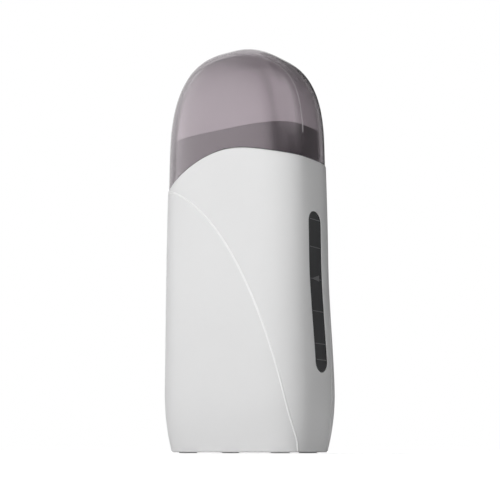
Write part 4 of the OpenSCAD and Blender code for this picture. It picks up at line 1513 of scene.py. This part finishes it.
@dataclass
class Window:
    """The smoked lens with its flange and level marks.

    Sizes are in millimetres.

    Attributes:
        body: The body that holds it.
        fit: Gap between the lens and its slot.
        sink: Depth of its face below the body's.
        edge_r: Radius of its edge.
        flange: How far its flange stands out behind the wall.
        flange_t: Thickness of the flange.
        loose: Gap between the flange and the wall.
        mark_count: How many long marks there are.
        mark_low: Height of the lowest one.
        mark_pitch: Distance from one to the next.
        mark_w: Length of a long mark.
        mark_r: Its radius.
        steps: Heights of the steps near the lens's ends.
        step_w: Length of a step.
        step_r: Its radius.
        rib_sink: How far the top of a mark lies below the body's face.
        rib_step: Distance between the rings of a mark or a step.
        arrow_at: The long mark that has the arrow.
        arrow_reach: Depth of the arrow's tip and of its foot, from the slot's middle.
        arrow_rise: How far its foot reaches below and above the mark.
        arrow_tip: Half height of its tip.
        arrow_t: How deep it reaches into the lens.
    """

    body: Body
    fit: float = 0.08
    sink: float = 0.05
    edge_r: float = 0.35
    flange: float = 1.8
    flange_t: float = 1.2
    loose: float = 0.3
    mark_count: int = 4
    mark_low: float = 52.0
    mark_pitch: float = 15.6
    mark_w: float = 9.4
    mark_r: float = 0.3
    steps: Flat = (44.3, 112.6)
    step_w: float = 8.6
    step_r: float = 0.45
    rib_sink: float = 0.01
    rib_step: float = 0.8
    arrow_at: int = 2
    arrow_reach: Flat = (-3.4, 2.6)
    arrow_rise: Flat = (0.9, 2.1)
    arrow_tip: float = 0.15
    arrow_t: float = 0.3

    def make(self) -> None:
        """Makes the lens and its marks, and hands them over."""
        slot = self.body.window()
        draft = Draft()
        draft.tube([
            [LAW.side(slot.u + slot.lean(z) + reach * across, z + reach * up, inset)
             for across, up, z in self.directions(slot.v - slot.core_v, slot.v + slot.core_v)]
            for reach, inset in self.profile(slot.radius)])
        hand_over(
            draft.build("window_pane", Palette.LENS.material, 50), "housing", "lens_smoked",
            "window_lens")
        levels = [self.mark_low + i * self.mark_pitch for i in range(self.mark_count)]
        self.ribs("level_marks", levels, self.mark_w, self.mark_r)
        self.ribs("lens_steps", self.steps, self.step_w, self.step_r)
        self.arrow(levels[self.arrow_at])

    def profile(self, radius: float) -> list[Flat]:
        """Returns the lens's section, from its face over its edge to its back.

        Args:
            radius: Radius of the slot's ends.

        Returns:
            Reach from the slot's middle line and depth below the body's face, in order.
        """
        rim, outer = radius - self.fit, radius + self.flange
        turns = [math.radians(turn) for turn in spread(0, 90, 3)]
        low = LAW.wall + self.loose
        back = low + self.flange_t
        return [
            *[(rim * share, self.sink) for share in (0.0, 0.3, 0.6, 0.85)],
            *[(rim - self.edge_r * (1 - math.sin(t)), self.sink + self.edge_r * (1 - math.cos(t)))
              for t in turns],
            (rim, low), (outer, low), (outer, back),
            *[(outer * share, back) for share in (0.6, 0.3, 0.0)]]

    def directions(self, low: float, high: float) -> list[Point]:
        """Returns the directions round the slot.

        Args:
            low: Height of the lower end of its straight part.
            high: Height of the upper end.

        Returns:
            Sideways reach, upward reach and height of the start of each.
        """
        arc = [math.radians(a) for a in spread(0, 180, 20)]
        return (
            [(1.0, 0.0, z) for z in spread(low, high, 40)[:-1]]
            + [(math.cos(a), math.sin(a), high) for a in arc[:-1]]
            + [(-1.0, 0.0, z) for z in spread(high, low, 40)[:-1]]
            + [(-math.cos(a), -math.sin(a), low) for a in arc[:-1]])

    def ribs(self, name: str, levels: Sequence[float], width: float, radius: float) -> None:
        """Makes the cross ribs on the lens at some heights, and hands them over.

        Args:
            name: The piece's name.
            levels: The heights.
            width: Length of a rib.
            radius: Its radius.
        """
        slot = self.body.window()
        paths = [[LAW.side(slot.u + slot.lean(z) + width * share, z, radius + self.rib_sink)
                  for share in spread(-0.5, 0.5, 8)] for z in levels]
        piece = round_bead(name, paths, radius, self.rib_step, Palette.MARK)
        hand_over(piece, "housing", "lens_smoked")

    def arrow(self, z: float) -> None:
        """Makes the small raised arrow at one level mark, which points to the front.

        Args:
            z: Height of the mark.
        """
        slot = self.body.window()
        tip, foot = (slot.u + slot.lean(z) + reach for reach in self.arrow_reach)
        low, high = (
            [(lerp(tip, foot, t), z + way * lerp(self.arrow_tip, end, t)) for t in spread(0, 1, 5)]
            for way, end in zip((-1, 1), self.arrow_rise))
        draft = slab(
            [*low, *reversed(high)], [], self.rib_sink, self.sink + self.arrow_t, LAW.side)
        hand_over(
            draft.build("level_arrow", Palette.MARK.material, 30), "housing", "lens_smoked")


@dataclass
class Cap:
    """The translucent cap, with the fine crease that arches over its front in a lighter colour that
    paints a highlight.

    Sizes are in millimetres.

    Attributes:
        wall: Thickness of the cap.
        step: How far its outer face stands back from the shells' at the seam.
        gap: Gap over the seam.
        rim_r: Radius of its rim.
        columns: Upright lines of its grid.
        rows: Rows of its grid.
        crease_half: Direction in degrees and height of points on the crease's right half.
        crease_top: Direction and height of its middle.
        crease_clear: Room that it leaves at the seam.
        crease_r: Radius of the crease.
        crease_sink: Depth of its middle below the surface.
        crease_step: Distance between its rings.
    """

    wall: float = 2.0
    step: float = 0.4
    gap: float = 0.06
    rim_r: float = 0.35
    columns: int = 216
    rows: int = 70
    crease_half: tuple[Flat, ...] = (
        (-18.7, 155.5), (-18.7, 160.0), (-18.7, 164.0), (-18.8, 170.0), (-19.2, 175.6),
        (-20.4, 180.9), (-23.2, 185.3), (-29.0, 189.5), (-36.2, 192.6), (-46.2, 195.5),
        (-57.0, 197.7), (-67.0, 199.2), (-79.0, 200.2))
    crease_top: Flat = (-90.0, 200.5)
    crease_clear: float = 0.9
    crease_r: float = 0.35
    crease_sink: float = 0.2
    crease_step: float = 1.2

    def make(self) -> None:
        """Makes the cap and its crease, and hands them over."""
        count = self.columns
        places = [self.place(360 * j / count, math.sin(math.pi / 2 * i / self.rows))
                  for j in range(count) for i in range(self.rows)]
        top = len(places)
        places.append(lambda edge, inset: (0.0, 0.0, LAW.total_h - inset))
        quads: list[Face] = []
        for j in range(count):
            a, b = j * self.rows, (j + 1) % count * self.rows
            quads += [(a + i, b + i, b + i + 1, a + i + 1) for i in range(self.rows - 1)]
            quads.append((a + self.rows - 1, b + self.rows - 1, top))
        draft = thick_skin(places, quads, rim_profile(self.wall, self.rim_r, self.rim_r))
        hand_over(draft.build("cap_dome", Palette.CAP.material), "cap", "cap_tinted", "cap")
        self.crease()

    def place(self, angle: float, rise: float) -> Place:
        """Returns a place between the seam and the top.

        Args:
            angle: Its direction, in degrees from +X.
            rise: Share of the way from the seam to the top.

        Returns:
            The place.
        """
        seam = LAW.seam_over(LAW.outline(angle, LAW.seam_peak, 0), 0)

        def point(edge: float, inset: float) -> Point:
            """Returns the point for an edge and an inset."""
            z = lerp(seam + self.gap + edge, LAW.total_h - inset, rise)
            return LAW.outline(
                angle, z, inset + self.step * (1 - rise) ** 2 * (1 - inset / self.wall))

        return point

    def crease(self) -> None:
        """Makes the fine raised line that arches over the cap's front, in a lighter colour that paints
        the highlight along the cap's edge, and hands it over.
        """
        left_half = [(-180 - a, z) for a, z in reversed(self.crease_half)]
        turns = [*self.crease_half, self.crease_top, *left_half]
        points = []
        for (a0, z0), (a1, z1) in zip(turns, turns[1:]):
            for share in spread(0, 1, 6)[:-1]:
                point = LAW.outline(lerp(a0, a1, share), lerp(z0, z1, share), self.crease_sink)
                if point[2] > LAW.seam_over(point, 0) + self.crease_clear:
                    points.append(point)
        piece = round_bead(
            "cap_crease_painted_highlight", [points], self.crease_r, self.crease_step, Palette.CREASE)
        hand_over(piece, "cap", "cap_tinted")


@dataclass
class Collar:
    """The collar that holds the cap, with the cartridge's mouth.

    Sizes are in millimetres.

    Attributes:
        rim_z: Height of its rim.
        skirt_z: Height of its lower edge.
        wall: Its thickness.
        inset: Depth of its outer face below the body's.
        rim_r: Radius of its rim.
        deck_drop: How far its deck lies below the rim.
        deck_t: Thickness of the deck.
        deck_r: Size of the bevels at the deck's mouth.
        deck_foot: How far the deck's outer bevel runs in.
        mouth: Width, depth and corner radius of the mouth.
        mouth_y: Depth of the mouth's middle.
        columns: Upright lines of its grid.
    """

    rim_z: float = 160.5
    skirt_z: float = 127.0
    wall: float = 2.0
    inset: float = 2.6
    rim_r: float = 0.6
    deck_drop: float = 3.0
    deck_t: float = 2.0
    deck_r: float = 0.5
    deck_foot: float = 0.4
    mouth: Point = (55.6, 34.6, 8.8)
    mouth_y: float = -2.5
    columns: int = 216

    def make(self) -> None:
        """Makes the collar and hands it over."""
        deck = self.rim_z - self.deck_drop
        under = deck - self.deck_t
        inner = self.inset + self.wall
        rim = rim_profile(self.wall, self.rim_r, self.rim_r)[1:]
        draft = Draft()
        draft.loop([
            *[self.ring(z, self.inset) for z in spread(self.skirt_z, self.rim_z - self.rim_r, 12)],
            *[self.ring(self.rim_z - edge, self.inset + inset) for edge, inset in rim],
            self.ring(deck + self.deck_r, inner), self.ring(deck, inner + self.deck_foot),
            self.mouth_ring(deck, self.deck_r), self.mouth_ring(deck - self.deck_r, 0.0),
            self.mouth_ring(under, 0.0),
            *[self.ring(z, inner) for z in spread(under, self.skirt_z, 6)]])
        hand_over(
            draft.build("collar_ring", Palette.COLLAR.material), "housing", "collar_dark", "collar")

    def angles(self) -> list[float]:
        """Returns the directions of the columns."""
        return [360 * j / self.columns for j in range(self.columns)]

    def ring(self, z: float, inset: float) -> list[Point]:
        """Returns the body's outline at a height and a depth below its face."""
        return [LAW.outline(a, z, inset) for a in self.angles()]

    def mouth_ring(self, z: float, grow: float) -> list[Point]:
        """Returns the mouth's grown outline at a height."""
        return [(*self.mouth_point(a, grow), z) for a in self.angles()]

    def mouth_point(self, angle: float, grow: float) -> Flat:
        """Returns the point of the mouth's rounded outline in a direction.

        Args:
            angle: The direction, in degrees from +X.
            grow: How far the outline is grown.

        Returns:
            The point.
        """
        width, depth, radius = self.mouth
        half = (width / 2 + grow, depth / 2 + grow)
        core = (half[0] - radius - grow, half[1] - radius - grow)
        c, s = math.cos(math.radians(angle)), math.sin(math.radians(angle))
        reach = min(half[0] / max(1e-9, abs(c)), half[1] / max(1e-9, abs(s)))
        u, v = reach * c, reach * s
        if abs(u) > core[0] and abs(v) > core[1]:
            cu, cv = math.copysign(core[0], u), math.copysign(core[1], v)
            dot = c * cu + s * cv
            reach = dot + math.sqrt(max(0.0, dot * dot - cu * cu - cv * cv + (radius + grow) ** 2))
            u, v = reach * c, reach * s
        return (u, v + self.mouth_y)


# ---------- studio ----------


def toward(azimuth: float, elevation: float) -> Point:
    """Returns the direction, from the heater, of an azimuth in the camera's sense and an elevation."""
    a, e = math.radians(azimuth), math.radians(elevation)
    return (math.sin(a) * math.cos(e), -math.cos(a) * math.cos(e), math.sin(e))


@dataclass(frozen=True)
class Lamp:
    """Area lamp that looks at the middle of the heater, and that no reflection shows.

    Attributes:
        name: Its name.
        azimuth: Direction from the heater, in the camera's sense, in degrees.
        elevation: Height over the horizon, in degrees.
        distance: Distance in metres.
        size: Width and height in metres.
        power: Power in watts.
        middle: Place that it looks at, in metres.
    """

    name: str
    azimuth: float
    elevation: float
    distance: float
    size: Flat
    power: float
    middle: Point = (0.0, 0.0, 0.1)

    def make(self) -> None:
        """Makes the lamp."""
        data = bpy.data.lights.new(self.name, "AREA")
        data.shape = "RECTANGLE"
        data.size, data.size_y = self.size
        data.energy = self.power
        lamp = linked(self.name, data)
        middle = Vector(self.middle)
        lamp.location = middle + self.distance * Vector(toward(self.azimuth, self.elevation))
        lamp.rotation_euler = (middle - lamp.location).to_track_quat("-Z", "Y").to_euler()
        lamp.visible_camera = lamp.visible_transmission = lamp.visible_glossy = False


@dataclass(frozen=True)
class Panel:
    """Panel of the studio, on a sphere round the heater, which only reflections show.

    Attributes:
        name: Its name.
        radius: Its distance in metres.
        level: Its brightness, where 1 is white.
        azimuths: Its sides, in the camera's sense, in degrees.
        elevations: Its lower and upper edge, in degrees.
        fades: Degrees over which it fades in from each side, and from its lower and upper edge.
    """

    name: str
    radius: float
    level: float
    azimuths: Flat
    elevations: Flat
    fades: tuple[float, float, float, float]

    def glow(self, azimuth: float, elevation: float) -> float:
        """Returns how much of the panel shows in a direction.

        Args:
            azimuth: The direction, in the camera's sense, in degrees.
            elevation: Its height over the horizon, in degrees.

        Returns:
            The share, which is 0 at the edges.
        """
        reach = (azimuth - self.azimuths[0], self.azimuths[1] - azimuth,
                 elevation - self.elevations[0], self.elevations[1] - elevation)
        return math.prod(smooth(r / fade) for r, fade in zip(reach, self.fades))

    def make(self) -> None:
        """Makes the panel, which reflections alone see."""
        wide, high = 48, 24
        places = [(azimuth, elevation) for elevation in spread(*self.elevations, high)
                  for azimuth in spread(*self.azimuths, wide)]
        points = [tuple(self.radius * c for c in toward(*place)) for place in places]
        row = wide + 1
        faces = [(j * row + i, j * row + i + 1, (j + 1) * row + i + 1, (j + 1) * row + i)
                 for j in range(high) for i in range(wide)]
        mesh = bpy.data.meshes.new(self.name)
        mesh.from_pydata(points, [], faces)
        mesh.attributes.new("glow", "FLOAT", "POINT").data.foreach_set(
            "value", [self.glow(*place) for place in places])
        mesh.materials.append(self.material())
        panel = linked(self.name, mesh)
        panel.visible_camera = panel.visible_diffuse = panel.visible_shadow = False
        panel.visible_transmission = False

    def material(self) -> bpy.types.Material:
        """Returns the panel's own light, which gives way to what is behind where it fades."""
        material = new_material(self.name)
        tree = material.node_tree
        light = add_node(tree, "ShaderNodeEmission", {"Strength": self.level})
        behind = add_node(tree, "ShaderNodeBsdfTransparent")
        share = add_node(tree, "ShaderNodeAttribute")
        share.attribute_name = "glow"
        mix = add_node(tree, "ShaderNodeMixShader", {
            "Fac": share.outputs["Fac"], 1: behind.outputs["BSDF"], 2: light.outputs["Emission"]})
        tree.links.new(mix.outputs["Shader"], tree.nodes["Material Output"].inputs["Surface"])
        return material


LAMPS = (
    Lamp("key_lamp", 14, 11, 1.3, (0.8, 0.9), 10.9),
    Lamp("back_lamp", 215, 25, 1.4, (1.2, 1.0), 11.0),
)
PANELS = (
    Panel("sheen_panel", 1.55, 4.9, (-82, 30), (-6, 62), (16, 42, 1, 44)),
    Panel("rim_panel", 1.50, 3.0, (8, 140), (20, 66), (32, 50, 6, 22)),
    Panel("dark_panel", 1.60, 0.02, (60, 208), (-2, 82), (20, 8, 1, 8)),
)


@dataclass
class Studio:
    """Camera, background and floor.

    Attributes:
        azimuth: How far to the right of the front the camera stands, in degrees.
        distance: Its distance from the body's widest line, in metres.
        eye_z: Its height, in metres.
        side_shift: How far it stands to the right of its own line, in metres.
        pitch: How far it looks up, in degrees.
        lens: Its focal length, in millimetres.
        sensor: Width of its sensor, in millimetres.
        near: Distance from which it sees, in metres.
        dim: The background's share of light on the heater, which sees it white.
        floor_half: Half width of the floor, in metres.
        floor_reach: Distances over which the floor goes over into the background, in metres.
        floor_glow: Its own brightness at the first and the second of them.
        floor_tone: Its share of grey.
        floor_rough: Its roughness.
    """

    azimuth: float = 36.0
    distance: float = 0.566
    eye_z: float = 0.001
    side_shift: float = 0.0022
    pitch: float = 10.12
    lens: float = 81.1
    sensor: float = 36.0
    near: float = 0.01
    dim: float = 0.17
    floor_half: float = 3.0
    floor_reach: Flat = (0.1, 0.6)
    floor_glow: Flat = (0.45, 1.0)
    floor_tone: float = 0.9
    floor_rough: float = 0.9

    def camera(self) -> None:
        """Makes the camera at the photograph's place."""
        a = math.radians(self.azimuth)
        data = bpy.data.cameras.new("camera")
        data.lens, data.sensor_width, data.clip_start = self.lens, self.sensor, self.near
        eye = linked("camera", data)
        eye.location = (
            self.distance * math.sin(a) + self.side_shift * math.cos(a),
            -self.distance * math.cos(a) + LAW.mid_y * MM + self.side_shift * math.sin(a),
            self.eye_z)
        eye.rotation_euler = (math.radians(90 + self.pitch), 0, a)
        bpy.context.scene.camera = eye

    def background(self) -> None:
        """Makes the world: white for the camera, reflections and clear walls, and dim as a light."""
        world = bpy.data.worlds.new("studio")
        bpy.context.scene.world = world
        world.use_nodes = True
        tree = world.node_tree
        path = add_node(tree, "ShaderNodeLightPath")
        direct = math_node(
            tree, "MAXIMUM", path.outputs["Is Camera Ray"], path.outputs["Is Glossy Ray"])
        seen = math_node(tree, "MAXIMUM", direct, path.outputs["Is Transmission Ray"])
        level = add_node(tree, "ShaderNodeMapRange", {
            "Value": seen, "To Min": self.dim, "To Max": 1.0})
        feed(tree.nodes["Background"], {
            "Color": (1, 1, 1, 1), "Strength": level.outputs["Result"]})

    def floor(self) -> None:
        """Makes the pale floor, which glows for the camera alone."""
        half = self.floor_half
        mesh = bpy.data.meshes.new("floor")
        corners = [(-half, -half, 0), (half, -half, 0), (half, half, 0), (-half, half, 0)]
        mesh.from_pydata(corners, [], [(0, 1, 2, 3)])
        material = new_material("floor_white")
        tree = material.node_tree
        place = add_node(tree, "ShaderNodeTexCoord")
        away = add_node(tree, "ShaderNodeVectorMath", {0: place.outputs["Object"]})
        away.operation = "LENGTH"
        rise = add_node(tree, "ShaderNodeMapRange", {
            "Value": away.outputs["Value"], "From Min": self.floor_reach[0],
            "From Max": self.floor_reach[1], "To Min": self.floor_glow[0],
            "To Max": self.floor_glow[1]})
        path = add_node(tree, "ShaderNodeLightPath")
        seen = math_node(
            tree, "MULTIPLY", rise.outputs["Result"], path.outputs["Is Camera Ray"])
        feed(tree.nodes["Principled BSDF"], {
            "Base Color": (*[self.floor_tone] * 3, 1), "Roughness": self.floor_rough,
            "Emission Color": (1, 1, 1, 1), "Emission Strength": seen})
        mesh.materials.append(material)
        floor = linked("floor", mesh)


def main() -> None:
    """Builds the studio and every piece."""
    logging.basicConfig(level=logging.INFO, format="%(name)s: %(message)s")
    studio = Studio()
    studio.camera()
    bpy.context.scene.view_settings.view_transform = "Standard"
    body = Body()
    body.make()
    Window(body).make()
    Cap().make()
    Collar().make()
    dress_carried_nodes()
    for light in (*LAMPS, *PANELS):
        light.make()
    studio.background()
    studio.floor()


if __name__ == "__main__":
    main()
